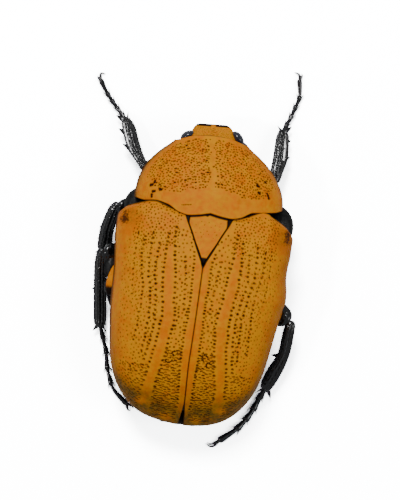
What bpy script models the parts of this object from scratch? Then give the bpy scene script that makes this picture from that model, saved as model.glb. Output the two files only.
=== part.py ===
"""Life-size still model of the flower chafer Euchroea oberthuri, standing on its six feet.

The head points to -Y, up is +Z, and the seam of the wing cases lies along Y, so the animal's
left side is towards +X. Sizes are in millimetres and become metres when a mesh is made.
Side pairs are drawn for the left side; side is 1 there and -1 on the right.
"""

import math

import bmesh
import bpy
from mathutils import Matrix, Vector

MM = 0.001
GAP = 0.3
SHELL = 0.5
INSET = SHELL + GAP + 0.05
ORIGIN = Vector((1.165, -2.226, 0.0))
LEFT_RIGHT = (("left", 1), ("right", -1))

# Wing cases: half width, crown and side edge height by distance along the seam.
CASE_REAR = 14.45
CASE_POWER = 2.45
CASE_WIDTH = ((-6.6, 7.6), (-5.6, 8.2), (-4.2, 8.5), (-1.6, 8.3), (0.8, 8.1), (3.4, 8.15),
              (6.6, 7.8), (9.2, 7.3), (11.0, 6.55), (12.6, 5.4), (13.7, 4.0), (14.2, 2.7), (14.45, 1.3))
CASE_TOP = ((-6.6, 9.25), (-4.5, 9.8), (-1.0, 10.5), (3.0, 10.75), (6.5, 10.35), (9.5, 9.3),
            (12.0, 7.75), (13.6, 6.3), (14.45, 5.3))
CASE_EDGE = ((-6.6, 6.1), (-5.2, 5.5), (-2.5, 4.9), (1.0, 4.6), (7.0, 4.3), (14.45, 4.4))
CASE_FRONT = ((0.0, -5.35), (0.2, -5.85), (0.38, -6.25), (0.48, -6.3), (0.62, -6.0), (0.8, -5.7),
              (1.0, -5.25))
SHOULDER_BUMP = {"x": 6.3, "y": -4.3, "height": 0.32, "reach": 1.2}
TAIL_BUMP = {"x": 4.6, "y": 11.3, "height": 0.3, "reach": 1.1}
SEAM_AT_TIP = 0.43
SEAM_BEHIND = 0.15
SEAM_CLOSES_IN = 0.6
TAIL_OPENS_AT = 12.4
TAIL_OPENING = 0.1

# Triangular plate between the bases of the wing cases: half width along it.
SCUTELLUM_FRONT = -5.35
SCUTELLUM_TIP = -1.35
SCUTELLUM_WIDTH = ((-5.35, 1.9), (-3.9, 1.18), (-2.5, 0.6), (-1.35, 0.13))

# Neck shield, in its own frame: y runs back from its front edge to its rear edge.
SHIELD_TURN = math.radians(2.6)
SHIELD_PLACE = Vector((0.0, -7.3, 0.0))
SHIELD_POWER = 2.15
SHIELD_REACH = 7.1
SHIELD_FRONT_REACH = 3.0
SHIELD_WIDTH = ((-6.2, 2.9), (-5.3, 3.65), (-4.5, 4.65), (-3.6, 5.6), (-2.6, 6.35), (-1.2, 6.95),
                (-0.1, 7.12), (1.6, 6.95))
SHIELD_TOP = ((-6.2, 6.95), (-4.6, 7.9), (-2.6, 8.85), (-0.6, 9.4), (1.6, 9.65))
SHIELD_EDGE = ((-6.2, 5.75), (-4.0, 5.0), (-2.0, 4.75), (0.6, 5.25), (1.6, 5.4))
SHIELD_FRONT = ((0.0, -6.15), (1.5, -6.05), (3.0, -5.5))
SHIELD_REAR = ((0.0, 1.2), (1.2, 1.45), (2.1, 1.55), (3.0, 1.35), (4.1, 0.7), (5.3, 0.42),
               (6.3, 0.5), (7.1, 0.3))

# Body rings below the shells: place along the body and the height of the belly there.
PROTHORAX_BELLY = ((-4.95, 3.8), (-4.3, 3.45), (-3.4, 3.2), (-2.4, 2.9), (-1.2, 2.8), (-0.15, 3.0))
NECK_SECTIONS = ((-6.75, 5.3, 7.9, 5.2, 2.7), (-6.0, 5.9, 8.2, 5.2, 2.3), (-5.3, 6.4, 8.5, 5.2, 2.0))
PTEROTHORAX_BELLY = ((-4.6, 1.85), (-3.6, 1.75), (-2.4, 1.7), (-1.0, 1.7), (0.6, 1.75), (2.35, 1.85))
ABDOMEN_BELLY = ((2.7, 1.85), (4.2, 1.7), (6.0, 1.75), (8.0, 1.95), (10.0, 2.35), (11.6, 2.85),
                 (12.8, 3.4))
PYGIDIUM_SECTIONS = ((13.12, 3.9, 4.0, 3.48, 2.95), (13.6, 3.2, 4.0, 3.55, 3.1),
                     (14.0, 2.3, 3.98, 3.62, 3.25), (14.25, 1.2, 3.93, 3.69, 3.45))
BODY_SIDES = 28
PROTHORAX_KEEL = 1.7
THORAX_KEEL = 1.6
ABDOMEN_KEEL = 1.8

# Hips, side plates and the prow: centre, three half sizes and turn in degrees about Y and Z.
FRONT_HIP = ((1.45, -9.4, 2.75), (1.35, 0.85, 0.95), (28, 0))
MIDDLE_HIP = ((1.9, -3.7, 1.95), (1.2, 0.8, 0.7), (0, 0))
HIND_HIP = ((3.3, 1.0, 2.3), (2.7, 0.95, 0.65), (-16, 0))
FRONT_FLANK = ((6.75, -6.3, 4.15), (1.5, 1.1, 0.85), (0, 56))
REAR_FLANK = ((7.4, 1.2, 3.65), (1.3, 1.1, 0.6), (0, 0))
PROW = ((0.0, -6.1, 2.35), (0.85, 1.75, 0.6), (0, 0))

# Head, in its own frame: y runs back from the lip; sections hold width, top, edge and bottom.
HEAD_TURN = math.radians(4.0)
HEAD_PLACE = Vector((0.53, -14.62, 0.0))
HEAD_SECTIONS = ((0.0, 1.25, 4.2, 4.0, 3.75), (0.12, 1.5, 4.4, 4.05, 3.6), (0.4, 1.8, 4.75, 4.2, 3.45),
                 (0.9, 1.88, 5.4, 4.5, 3.2), (1.5, 1.92, 5.95, 4.8, 3.1), (1.95, 1.85, 6.15, 4.9, 3.3))
HEAD_POWER = 2.3
EYE = ((2.52, 1.15, 4.75), (0.36, 0.56, 0.62), (0, 0))
JAW = ((0.75, 0.75, 3.3), (0.55, 0.6, 0.35), (0, 0))
PALP_PATH = ((1.1, 0.9, 3.3), (1.45, 0.45, 2.95), (1.3, 0.05, 2.7))
PALP_WIDTH = 0.25
ANTENNA_PATH = ((2.0, 0.1, 3.3), (2.5, 0.3, 3.15), (2.85, 0.75, 3.1), (2.95, 1.25, 3.1))
ANTENNA_WIDTH = 0.27
CLUB_ROOT = Vector((2.9, 1.0, 3.1))
CLUB_TIP = Vector((3.1, 2.75, 3.05))
CLUB_SPREAD = Vector((0.1, 0.0, 0.22))
LEAF_WIDTH = 0.3
LEAF_HEIGHT = 0.16

# Legs: thigh from hip to knee; shin and foot along their middle lines; teeth as root share, tip, width.
LEGS = {
    "front_left": {
        "thigh": ((3.1, -9.35, 1.95), (6.55, -9.8, 2.45)),
        "shin": ((6.87, -10.17, 2.25, 0.4), (7.77, -11.48, 1.75, 0.58), (8.32, -12.99, 1.3, 0.54),
                 (8.84, -14.05, 0.98, 0.42)),
        "teeth": ((0.3, (8.67, -11.6, 1.6), 0.32), (0.68, (9.25, -12.94, 1.2), 0.3),
                  (0.93, (9.65, -14.15, 0.85), 0.3), (0.93, (8.5, -14.6, 0.8), 0.2)),
        "foot": ((9.84, -15.05, 0.35), (10.45, -15.7, 0.3), (11.12, -16.5, 0.29), (11.82, -17.55, 0.29)),
    },
    "front_right": {
        "thigh": ((-3.1, -9.5, 1.9), (-6.12, -10.42, 2.48)),
        "shin": ((-6.22, -10.98, 2.35, 0.42), (-6.5, -12.31, 1.95, 0.62), (-6.54, -14.1, 1.4, 0.58),
                 (-6.55, -15.15, 1.0, 0.42)),
        "teeth": ((0.3, (-7.37, -12.44, 1.7), 0.32), (0.7, (-7.29, -14.15, 1.2), 0.3),
                  (0.93, (-7.15, -15.45, 0.85), 0.3), (0.93, (-5.95, -15.4, 0.8), 0.2)),
        "foot": ((-7.13, -16.53, 0.35), (-7.43, -17.52, 0.3), (-7.69, -18.43, 0.29), (-7.68, -19.1, 0.29),
                 (-7.45, -20.35, 0.29)),
    },
    "middle_left": {
        "thigh": ((3.5, -3.9, 1.4), (8.5, -5.75, 3.4)),
        "shin": ((8.82, -4.95, 2.92, 0.42), (9.15, -3.19, 2.1, 0.5), (9.17, -2.11, 1.5, 0.56),
                 (9.25, -1.01, 1.0, 0.5)),
        "teeth": ((0.35, (9.85, -3.34, 1.9), 0.28), (0.65, (9.88, -2.15, 1.4), 0.28),
                  (0.93, (9.95, -0.85, 0.9), 0.28), (0.93, (8.6, -0.65, 0.8), 0.2)),
        "foot": ((9.15, 0.5, 0.35), (8.7, 1.9, 0.3), (8.1, 3.2, 0.29), (7.4, 4.3, 0.29)),
    },
    "middle_right": {
        "thigh": ((-3.5, -3.9, 1.4), (-8.15, -6.25, 3.1)),
        "shin": ((-8.45, -5.15, 2.6, 0.42), (-8.45, -3.8, 2.05, 0.5), (-8.35, -2.7, 1.5, 0.55),
                 (-8.25, -1.6, 1.0, 0.5)),
        "teeth": ((0.35, (-9.05, -3.9, 1.9), 0.28), (0.65, (-9.05, -2.75, 1.4), 0.28),
                  (0.93, (-8.95, -1.4, 0.9), 0.28), (0.93, (-7.6, -1.3, 0.8), 0.2)),
        "foot": ((-8.0, -0.3, 0.35), (-7.5, 1.1, 0.3), (-6.95, 2.4, 0.29), (-6.4, 3.5, 0.29)),
    },
    "hind_left": {
        "thigh": ((4.3, 0.5, 1.1), (9.25, -1.2, 3.4)),
        "shin": ((9.29, 0.05, 2.85, 0.45), (9.07, 2.28, 2.1, 0.6), (8.61, 5.3, 1.2, 0.56),
                 (8.52, 6.26, 0.97, 0.5)),
        "teeth": ((0.4, (9.8, 2.75, 1.9), 0.3), (0.93, (9.1, 6.65, 0.85), 0.28),
                  (0.93, (7.7, 6.75, 0.7), 0.2)),
        "foot": ((7.85, 7.9, 0.35), (7.5, 8.9, 0.3), (7.28, 10.0, 0.29), (6.93, 11.0, 0.29),
                 (6.3, 12.2, 0.29), (4.8, 13.5, 0.29)),
    },
    "hind_right": {
        "thigh": ((-4.3, 1.1, 1.1), (-9.85, 3.25, 3.3)),
        "shin": ((-9.8, 4.0, 3.05, 0.5), (-9.61, 6.52, 2.15, 0.57), (-8.9, 8.53, 1.45, 0.7),
                 (-8.26, 10.22, 0.98, 0.62)),
        "teeth": ((0.42, (-8.43, 6.68, 1.9), 0.32), (0.93, (-8.97, 10.79, 0.85), 0.28),
                  (0.93, (-7.4, 10.5, 0.7), 0.2)),
        "foot": ((-7.85, 11.4, 0.35), (-7.43, 12.5, 0.3), (-6.79, 13.6, 0.29), (-6.17, 14.43, 0.29),
                 (-4.57, 15.82, 0.29)),
    },
}
THIGH_WIDTH = ((0.0, 0.45), (0.35, 0.88), (0.75, 0.82), (0.92, 0.5), (1.0, 0.3))
THIGH_HEIGHT = ((0.0, 0.42), (0.35, 0.55), (0.75, 0.52), (0.92, 0.4), (1.0, 0.28))
FRONT_THIGH_SHARE = 0.8
SHIN_HEIGHT = ((0.0, 0.34), (0.5, 0.4), (1.0, 0.36))
THIGH_STEPS = 11
LEG_SIDES = 12
ANKLE_GAP = GAP + 0.25
FOOT_SIDES = 8
FOOT_JOINTS = 5
FOOT_STEPS = 5
FOOT_THIN = 0.24
FOOT_THICK = 0.33
CLAW_LENGTH = 0.65
CLAW_SPREAD = 0.5
CLAW_WIDTH = 0.2
CLAW_ROOT = 0.35
CLAW_TIP_HEIGHT = 0.09
SPIKE_BLUNT = 0.12

ORANGE = (0.80, 0.26, 0.02)
AMBER = (0.72, 0.30, 0.03)
BLACK = (0.012, 0.010, 0.010)
BROWN = (0.05, 0.025, 0.015)
SLATE = (0.03, 0.035, 0.05)

for leftover in list(bpy.data.objects):
    bpy.data.objects.remove(leftover, do_unlink=True)

model = bpy.data.collections.new("euchroea_oberthuri")
bpy.context.scene.collection.children.link(model)


# Curves through stations

def at(stations, place):
    """Value at a place, eased through (place, value) stations without overshoot."""
    last = len(stations) - 1
    if place <= stations[0][0]:
        return stations[0][1]
    if place >= stations[last][0]:
        return stations[last][1]
    slopes = [(b[1] - a[1]) / (b[0] - a[0]) for a, b in zip(stations, stations[1:])]

    def tangent(i):
        before = slopes[max(i - 1, 0)]
        after = slopes[min(i, last - 1)]
        if before * after <= 0:
            return 0.0
        return 2 * before * after / (before + after)

    i = max(k for k in range(last) if stations[k][0] <= place)
    start, value = stations[i]
    end, next_value = stations[i + 1]
    step = end - start
    t = (place - start) / step
    eased = value + (next_value - value) * t * t * (3 - 2 * t)
    return eased + step * t * (1 - t) * (tangent(i) * (1 - t) - tangent(i + 1) * t)


def rounding(value, power):
    """Sine or cosine of a superellipse, whose power 2 is a circle."""
    return math.copysign(abs(value) ** (2 / power), value)


def bump(x, y, shape):
    apart = (abs(x) - shape["x"]) ** 2 + (y - shape["y"]) ** 2
    return shape["height"] * math.exp(-apart / shape["reach"] ** 2)


def turned(points, angle, place):
    """Points given in a turned frame, moved to the body's own."""
    turn = Matrix.Rotation(angle, 3, "Z")
    return [turn @ Vector(point) + place for point in points]


def on_side(point, side):
    return Vector((point[0] * side, point[1], point[2]))


# Meshes

def make(name, bm, colour, roughness=0.3):
    """A closed mesh in millimetres becomes a named object in metres."""
    bmesh.ops.recalc_face_normals(bm, faces=bm.faces)
    bmesh.ops.translate(bm, verts=bm.verts, vec=-ORIGIN)
    bmesh.ops.scale(bm, verts=bm.verts, vec=(MM, MM, MM))
    mesh = bpy.data.meshes.new(name)
    bm.to_mesh(mesh)
    bm.free()
    mesh.shade_smooth()
    material = bpy.data.materials.new(name)
    material.use_nodes = True
    shader = material.node_tree.nodes["Principled BSDF"]
    shader.inputs["Base Color"].default_value = (*colour, 1.0)
    shader.inputs["Roughness"].default_value = roughness
    shader.inputs["Metallic"].default_value = 0.0
    mesh.materials.append(material)
    thing = bpy.data.objects.new(name, mesh)
    model.objects.link(thing)
    return thing


def loft(rings):
    """A closed skin over rings of points, with a fan at each end."""
    bm = bmesh.new()
    loops = [[bm.verts.new(point) for point in ring] for ring in rings]
    count = len(rings[0])
    for near, far in zip(loops, loops[1:]):
        for k in range(count):
            bm.faces.new((near[k], near[(k + 1) % count], far[(k + 1) % count], far[k]))
    for loop in (loops[0], loops[-1]):
        middle = bm.verts.new(sum((v.co for v in loop), Vector()) / count)
        for k in range(count):
            bm.faces.new((loop[k], loop[(k + 1) % count], middle))
    return bm


def plate(outer, inner):
    """A closed wall between two equal grids of points, joined along their rims."""
    bm = bmesh.new()
    rows = len(outer)
    columns = len(outer[0])
    grids = [[[bm.verts.new(point) for point in row] for row in grid] for grid in (outer, inner)]
    for verts in grids:
        for i in range(rows - 1):
            for j in range(columns - 1):
                bm.faces.new((verts[i][j], verts[i][j + 1], verts[i + 1][j + 1], verts[i + 1][j]))
    border = [(i, 0) for i in range(rows)]
    border += [(rows - 1, j) for j in range(1, columns)]
    border += [(i, columns - 1) for i in range(rows - 2, -1, -1)]
    border += [(0, j) for j in range(columns - 2, 0, -1)]
    for (a, b), (c, d) in zip(border, border[1:] + border[:1]):
        bm.faces.new((grids[0][a][b], grids[0][c][d], grids[1][c][d], grids[1][a][b]))
    return bm


def ball(name, shape, side, colour, roughness=0.3, place=None, segments=14, rings=8):
    """A UV sphere stretched, turned and set at the centre that its shape gives."""
    centre, size, (about_y, about_z) = shape
    turn = Matrix.Rotation(side * math.radians(about_z), 3, "Z")
    turn = turn @ Matrix.Rotation(side * math.radians(about_y), 3, "Y")
    bm = bmesh.new()
    bmesh.ops.create_uvsphere(bm, u_segments=segments, v_segments=rings, radius=1.0)
    bmesh.ops.scale(bm, verts=bm.verts, vec=size)
    bmesh.ops.rotate(bm, verts=bm.verts, cent=(0, 0, 0), matrix=turn)
    bmesh.ops.translate(bm, verts=bm.verts, vec=place or on_side(centre, side))
    return make(name, bm, colour, roughness)


def union(base, extras, solver="EXACT"):
    """The base joined with every extra by one Boolean, keeping its largest closed surface."""
    group = bpy.data.collections.new("extras")
    bpy.context.scene.collection.children.link(group)
    for extra in extras:
        model.objects.unlink(extra)
        group.objects.link(extra)
        extra.data.materials.clear()
        extra.data.materials.append(base.data.materials[0])
    join = base.modifiers.new("union", "BOOLEAN")
    join.operation = "UNION"
    join.operand_type = "COLLECTION"
    join.collection = group
    join.solver = solver
    evaluated = base.evaluated_get(bpy.context.evaluated_depsgraph_get())
    joined = bpy.data.meshes.new_from_object(evaluated)
    base.modifiers.clear()
    base.data = joined
    for extra in extras:
        bpy.data.objects.remove(extra, do_unlink=True)
    bpy.data.collections.remove(group)
    keep_largest(base.data)


def keep_largest(mesh):
    bm = bmesh.new()
    bm.from_mesh(mesh)
    left = set(bm.faces)
    islands = []
    while left:
        stack = [left.pop()]
        island = set(stack)
        while stack:
            face = stack.pop()
            near = {other for edge in face.edges for other in edge.link_faces if other in left}
            left -= near
            island |= near
            stack += near
        islands.append(island)
    islands.sort(key=len)
    for island in islands[:-1]:
        bmesh.ops.delete(bm, geom=list(island), context="FACES")
    bm.to_mesh(mesh)
    bm.free()


# Paths and tubes

def rounded(points, steps):
    """A smooth path through points, as Catmull-Rom spans of a few steps each."""
    points = [Vector(p) for p in points]
    ends = [2 * points[0] - points[1]] + points + [2 * points[-1] - points[-2]]
    path = []
    for i in range(1, len(ends) - 2):
        before, start, end, after = ends[i - 1:i + 3]
        for k in range(steps):
            t = k / steps
            path.append(0.5 * (2 * start + (end - before) * t
                               + (2 * before - 5 * start + 4 * end - after) * t * t
                               + (3 * start - before - 3 * end + after) * t ** 3))
    path.append(points[-1])
    return path


def shares_along(path):
    """The share of its length that each point of a path has reached."""
    lengths = [0.0]
    for a, b in zip(path, path[1:]):
        lengths.append(lengths[-1] + (b - a).length)
    return [length / lengths[-1] for length in lengths]


def tube(path, width_at, height_at, sides):
    """A closed tube of oval rings round a path, cut flat where it would reach below the floor."""
    rings = []
    for i, (point, share) in enumerate(zip(path, shares_along(path))):
        ahead = path[min(i + 1, len(path) - 1)] - path[max(i - 1, 0)]
        ahead.normalize()
        across = ahead.cross(Vector((0, 0, 1))).normalized()
        up = across.cross(ahead)
        ring = []
        for k in range(sides):
            angle = 2 * math.pi * (k + 0.5) / sides
            spot = point + across * width_at(share) * math.cos(angle)
            spot += up * height_at(share) * math.sin(angle)
            spot.z = max(spot.z, 0.0)
            ring.append(spot)
        rings.append(ring)
    return loft(rings)


def spike(root, tip, width, bend=Vector(), sides=6):
    """A tapered, slightly bent tooth, spur or claw."""
    middle = root.lerp(tip, 0.5) + bend

    def taper(share):
        return width * (1 - (1 - SPIKE_BLUNT) * share)

    return make("spike", tube(rounded([root, middle, tip], 3), taper, taper, sides), BLACK)


# Wing cases and scutellum

def seam_side(y):
    """How far from the middle a wing case begins: beside the scutellum, then near its twin."""
    if y < SCUTELLUM_TIP:
        return at(SCUTELLUM_WIDTH, y) + GAP
    closing = min((y - SCUTELLUM_TIP) / SEAM_CLOSES_IN, 1.0)
    opening = max(y - TAIL_OPENS_AT, 0.0)
    return SEAM_AT_TIP + (SEAM_BEHIND - SEAM_AT_TIP) * closing + TAIL_OPENING * opening


def case_point(y, angle, wall):
    """A point at a depth in the wall, at an angle that grows from the crown to the side edge."""
    edge = at(CASE_EDGE, y)
    across = math.sin(angle)
    up = max(math.cos(angle), 0.0)
    x = (at(CASE_WIDTH, y) - wall) * rounding(across, CASE_POWER)
    z = edge + (at(CASE_TOP, y) - wall - edge) * rounding(up, CASE_POWER)
    z += (bump(x, y, SHOULDER_BUMP) + bump(x, y, TAIL_BUMP)) * math.sqrt(up)
    return Vector((x, y, z))


def case_angle(y, x, wall):
    """The angle at which the shell lies x from the middle."""
    return math.asin(min((x / (at(CASE_WIDTH, y) - wall)) ** (CASE_POWER / 2), 1.0))


def wing_case(name, side, rows=24, columns=11):
    grids = []
    for wall in (0.0, SHELL):
        grid = []
        for i in range(rows + 1):
            row = []
            for j in range(columns + 1):
                share = j / columns
                front = at(CASE_FRONT, share)
                y = front + (CASE_REAR - front) * math.sin(0.5 * math.pi * i / rows)
                start = case_angle(y, seam_side(y), wall)
                angle = start + (0.5 * math.pi - start) * share
                row.append(on_side(case_point(y, angle, wall), side))
            grid.append(row)
        grids.append(grid)
    make(name, plate(*grids), AMBER, 0.25)


def scutellum(rows=8, columns=8):
    grids = []
    for wall in (0.0, SHELL):
        grid = []
        for i in range(rows + 1):
            y = SCUTELLUM_FRONT + (SCUTELLUM_TIP - SCUTELLUM_FRONT) * i / rows
            row = []
            for j in range(columns + 1):
                x = at(SCUTELLUM_WIDTH, y) * (2 * j / columns - 1)
                crown = case_point(y, case_angle(y, abs(x), 0.0), 0.0)
                row.append(Vector((x, y, crown.z - wall)))
            grid.append(row)
        grids.append(grid)
    make("scutellum", plate(*grids), ORANGE, 0.25)


# Neck shield and the body under the shells

def shield(rows=14, columns=26):
    grids = []
    for wall in (0.0, SHELL):
        grid = []
        for i in range(rows + 1):
            row = []
            for j in range(columns + 1):
                share = 2 * j / columns - 1
                angle = 0.5 * math.pi * abs(share)
                across = rounding(math.sin(angle), SHIELD_POWER)
                front = at(SHIELD_FRONT, SHIELD_FRONT_REACH * across)
                rear = at(SHIELD_REAR, SHIELD_REACH * across)
                y = front + (rear - front) * i / rows
                edge = at(SHIELD_EDGE, y)
                x = math.copysign((at(SHIELD_WIDTH, y) - wall) * across, share)
                up = rounding(max(math.cos(angle), 0.0), SHIELD_POWER)
                row.append((x, y, edge + (at(SHIELD_TOP, y) - wall - edge) * up))
            grid.append(turned(row, SHIELD_TURN, SHIELD_PLACE))
        grids.append(grid)
    make("pronotum", plate(*grids), ORANGE, 0.25)


def body_ring(section, power_top, power_bottom):
    """A rounded section across the body: place, half width, top, widest height and bottom."""
    y, width, top, edge, bottom = section
    ring = []
    for k in range(BODY_SIDES):
        angle = 2 * math.pi * k / BODY_SIDES
        up = math.sin(angle)
        power = power_top if up >= 0 else power_bottom
        height = top - edge if up >= 0 else edge - bottom
        ring.append(Vector((width * rounding(math.cos(angle), power), y,
                            edge + height * rounding(up, power))))
    return ring


def under_cases(stations, keel):
    """Body rings that follow the wing cases from below."""
    rings = []
    for y, bottom in stations:
        section = (y, at(CASE_WIDTH, y) - INSET, at(CASE_TOP, y) - INSET, at(CASE_EDGE, y), bottom)
        rings.append(body_ring(section, CASE_POWER, keel))
    return rings


def prothorax():
    """The underside of the first body ring, which fills the neck shield, with the front hips."""
    rings = []
    for y, bottom in PROTHORAX_BELLY:
        section = (y, at(SHIELD_WIDTH, y) - INSET, at(SHIELD_TOP, y) - INSET,
                   at(SHIELD_EDGE, y), bottom)
        ring = body_ring(section, SHIELD_POWER, PROTHORAX_KEEL)
        rings.append(turned(ring, SHIELD_TURN, SHIELD_PLACE))
    base = make("prothorax", loft(rings), BLACK)
    union(base, [ball("hip", FRONT_HIP, side, BLACK) for name, side in LEFT_RIGHT])


def pterothorax():
    """The middle and hind body rings with prow, hips and side plates."""
    rings = [body_ring(section, CASE_POWER, THORAX_KEEL) for section in NECK_SECTIONS]
    rings += under_cases(PTEROTHORAX_BELLY, THORAX_KEEL)
    base = make("pterothorax", loft(rings), BLACK)
    extras = [ball("prow", PROW, 1, BLACK)]
    for shape in (MIDDLE_HIP, HIND_HIP, FRONT_FLANK, REAR_FLANK):
        extras += [ball("extra", shape, side, BLACK) for name, side in LEFT_RIGHT]
    union(base, extras)


def abdomen_and_pygidium():
    make("abdomen", loft(under_cases(ABDOMEN_BELLY, ABDOMEN_KEEL)), BLACK)
    rings = [body_ring(section, 2.0, 2.0) for section in PYGIDIUM_SECTIONS]
    make("pygidium", loft(rings), BROWN)


# Head

def in_head(point, side=1):
    return turned([on_side(point, side)], HEAD_TURN, HEAD_PLACE)[0]


def head_tube(name, points, side, width, height, steps=4, sides=8):
    path = rounded([in_head(point, side) for point in points], steps)
    return make(name, tube(path, lambda share: width, lambda share: height, sides), BLACK)


def head():
    rings = []
    for section in HEAD_SECTIONS:
        rings.append(turned(body_ring(section, HEAD_POWER, HEAD_POWER), HEAD_TURN, HEAD_PLACE))
    base = make("head", loft(rings), ORANGE)
    extras = []
    for name, side in LEFT_RIGHT:
        extras.append(ball("jaw", JAW, side, BROWN, place=in_head(JAW[0], side)))
        extras.append(head_tube("palp", PALP_PATH, side, PALP_WIDTH, PALP_WIDTH, 3, 6))
    union(base, extras)


def eye_and_antenna(name, side):
    """An eye beside the head, and a feeler with a club of three leaves laid back by the throat."""
    ball(f"eye_{name}", EYE, side, SLATE, 0.15, in_head(EYE[0], side))
    base = head_tube(f"antenna_{name}", ANTENNA_PATH, side, ANTENNA_WIDTH, ANTENNA_WIDTH)
    leaves = []
    for k in (-1, 0, 1):
        root = CLUB_ROOT + 0.2 * k * CLUB_SPREAD
        tip = CLUB_TIP + k * CLUB_SPREAD
        leaves.append(head_tube("leaf", (root, tip), side, LEAF_WIDTH, LEAF_HEIGHT))
    union(base, leaves)


# Legs

def straight(start, end, steps):
    return [start.lerp(end, k / steps) for k in range(steps + 1)]


def foot_joints(share):
    """Half width along a foot, whose joints swell and pinch."""
    within = (share * FOOT_JOINTS) % 1.0
    swell = math.sin(math.pi * within) if share < 1.0 else 0.0
    return FOOT_THIN + (FOOT_THICK - FOOT_THIN) * swell


def claws(end, ahead):
    across = ahead.cross(Vector((0, 0, 1)))
    pair = []
    for side in (1, -1):
        root = end - ahead * CLAW_ROOT + across * side * 0.08
        tip = end + ahead * CLAW_LENGTH + across * side * CLAW_SPREAD
        tip.z = CLAW_TIP_HEIGHT
        pair.append(spike(root, tip, CLAW_WIDTH, across * side * 0.15 + Vector((0, 0, 0.12)), 5))
    return pair


def leg(name, plan):
    """Thigh, shin and foot along one line, parted by thin gaps."""
    hip, knee = [Vector(point) for point in plan["thigh"]]
    slim = FRONT_THIGH_SHARE if name.startswith("front") else 1.0
    thigh = tube(straight(hip, knee, THIGH_STEPS), lambda share: slim * at(THIGH_WIDTH, share),
                 lambda share: at(THIGH_HEIGHT, share), LEG_SIDES)
    make(f"femur_{name}", thigh, BLACK, 0.2)

    path = rounded([point[:3] for point in plan["shin"]], 3)
    widths = [(k / (len(plan["shin"]) - 1), point[3]) for k, point in enumerate(plan["shin"])]
    shin = tube(path, lambda share: at(widths, share), lambda share: at(SHIN_HEIGHT, share), LEG_SIDES)
    base = make(f"tibia_{name}", shin, BLACK, 0.2)
    teeth = []
    for share, tip, width in plan["teeth"]:
        root = path[round(share * (len(path) - 1))]
        teeth.append(spike(root, Vector(tip), width))
    union(base, teeth)

    ankle = path[-1] + (path[-1] - path[-2]).normalized() * ANKLE_GAP
    path = rounded([ankle] + list(plan["foot"]), FOOT_STEPS)
    base = make(f"tarsus_{name}", tube(path, foot_joints, foot_joints, FOOT_SIDES), BLACK, 0.25)
    union(base, claws(path[-1], (path[-1] - path[-2]).normalized()), "MANIFOLD")


def main():
    shield()
    prothorax()
    pterothorax()
    abdomen_and_pygidium()
    scutellum()
    head()
    for name, side in LEFT_RIGHT:
        wing_case(f"elytron_{name}", side)
        eye_and_antenna(name, side)
    for name, plan in LEGS.items():
        leg(name, plan)


main()
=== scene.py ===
"""The flower chafer Euchroea oberthuri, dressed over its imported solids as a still, dried animal.

Shapes are worked out in body millimetres: the head points to -Y, up is +Z, the seam of the wing
cases lies along Y and the animal's left side is towards +X. A mesh becomes metres, in the row's
own frame, when its piece is made. A wing case is drawn for the left side and mirrored. Tables of
pairs are (place, value) stations, and where a table has a 1 and a -1, they are left and right.
"""

import math

import bmesh
import bpy
import numpy as np
from mathutils import Matrix, Vector
from mathutils.kdtree import KDTree


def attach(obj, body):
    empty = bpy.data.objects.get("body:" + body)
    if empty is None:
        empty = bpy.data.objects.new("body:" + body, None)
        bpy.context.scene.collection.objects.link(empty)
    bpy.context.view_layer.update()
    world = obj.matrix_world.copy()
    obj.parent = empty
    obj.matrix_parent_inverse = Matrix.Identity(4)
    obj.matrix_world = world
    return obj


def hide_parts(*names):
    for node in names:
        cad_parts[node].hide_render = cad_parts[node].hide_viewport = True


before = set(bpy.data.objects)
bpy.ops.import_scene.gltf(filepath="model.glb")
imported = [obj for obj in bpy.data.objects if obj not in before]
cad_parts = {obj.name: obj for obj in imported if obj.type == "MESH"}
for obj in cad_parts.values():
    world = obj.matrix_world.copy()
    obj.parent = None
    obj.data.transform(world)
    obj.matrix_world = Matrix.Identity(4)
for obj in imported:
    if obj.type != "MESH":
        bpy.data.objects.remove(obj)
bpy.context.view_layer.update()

MM = 0.001
ORIGIN = np.array([1.165, -2.226, 0])
LEFT_RIGHT = (("left", 1), ("right", -1))
SEED = 41
COARSE = 10  # fine steps of a shell's outside to one of its inside
PIT_REACH = 1.7  # how far a pit darkens the surface, by its radius

# Wing cases: half width, crown and side edge height by distance along the seam.
CASE_REAR = 14.45
CASE_POWER = 2.45
CASE_WIDTH = ((-6.6, 7.7), (-5.6, 8.3), (-4.4, 8.56), (-3.2, 8.56), (-1.6, 8.38), (0.8, 8.16),
              (3.4, 8.06), (6.6, 7.71), (9.2, 7.25), (11, 6.55), (12.6, 5.4), (13.7, 4),
              (14.2, 2.7), (14.45, 1.3))
CASE_TOP = ((-6.6, 9.25), (-4.5, 9.8), (-1, 10.5), (3, 10.75), (6.5, 10.35), (9.5, 9.3), (12, 7.75),
            (13.6, 6.3), (14.45, 5.3))
CASE_EDGE = ((-6.6, 6.1), (-5.2, 5.5), (-2.5, 4.9), (1, 4.6), (7, 4.3), (14.45, 4.4))
CASE_FRONT = {
    1: ((0, -5.9), (2.2, -6.1), (3.5, -6.38), (4.6, -6.55), (5.5, -6.5), (6.7, -6.18), (7.6, -5.9),
        (8.05, -5.68), (8.3, -5.3)),
    -1: ((0, -5.9), (2.2, -6.25), (3.5, -6.62), (4.6, -6.82), (5.4, -6.76), (6, -6.58),
         (6.9, -6.22), (7.7, -5.8), (8.15, -5.3), (8.3, -4.9)),
}
RIGHT_EXTRA = ((-6.6, 0), (-5, 0.05), (-3.8, 0.04), (-2, 0.1), (-0.8, 0.24), (0.4, 0.55),
               (1.4, 0.66), (2.6, 0.42), (5, 0.28), (9, 0.24), (12, 0.28), (13.6, 0.36),
               (14.45, 0.4))
CASE_WALL = 0.45
CASE_BUMPS = ((0.32, (6.3, -4.3, 1.2, 1.2)), (0.3, (4.6, 11.3, 1.1, 1.1)))  # height, blot
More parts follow.
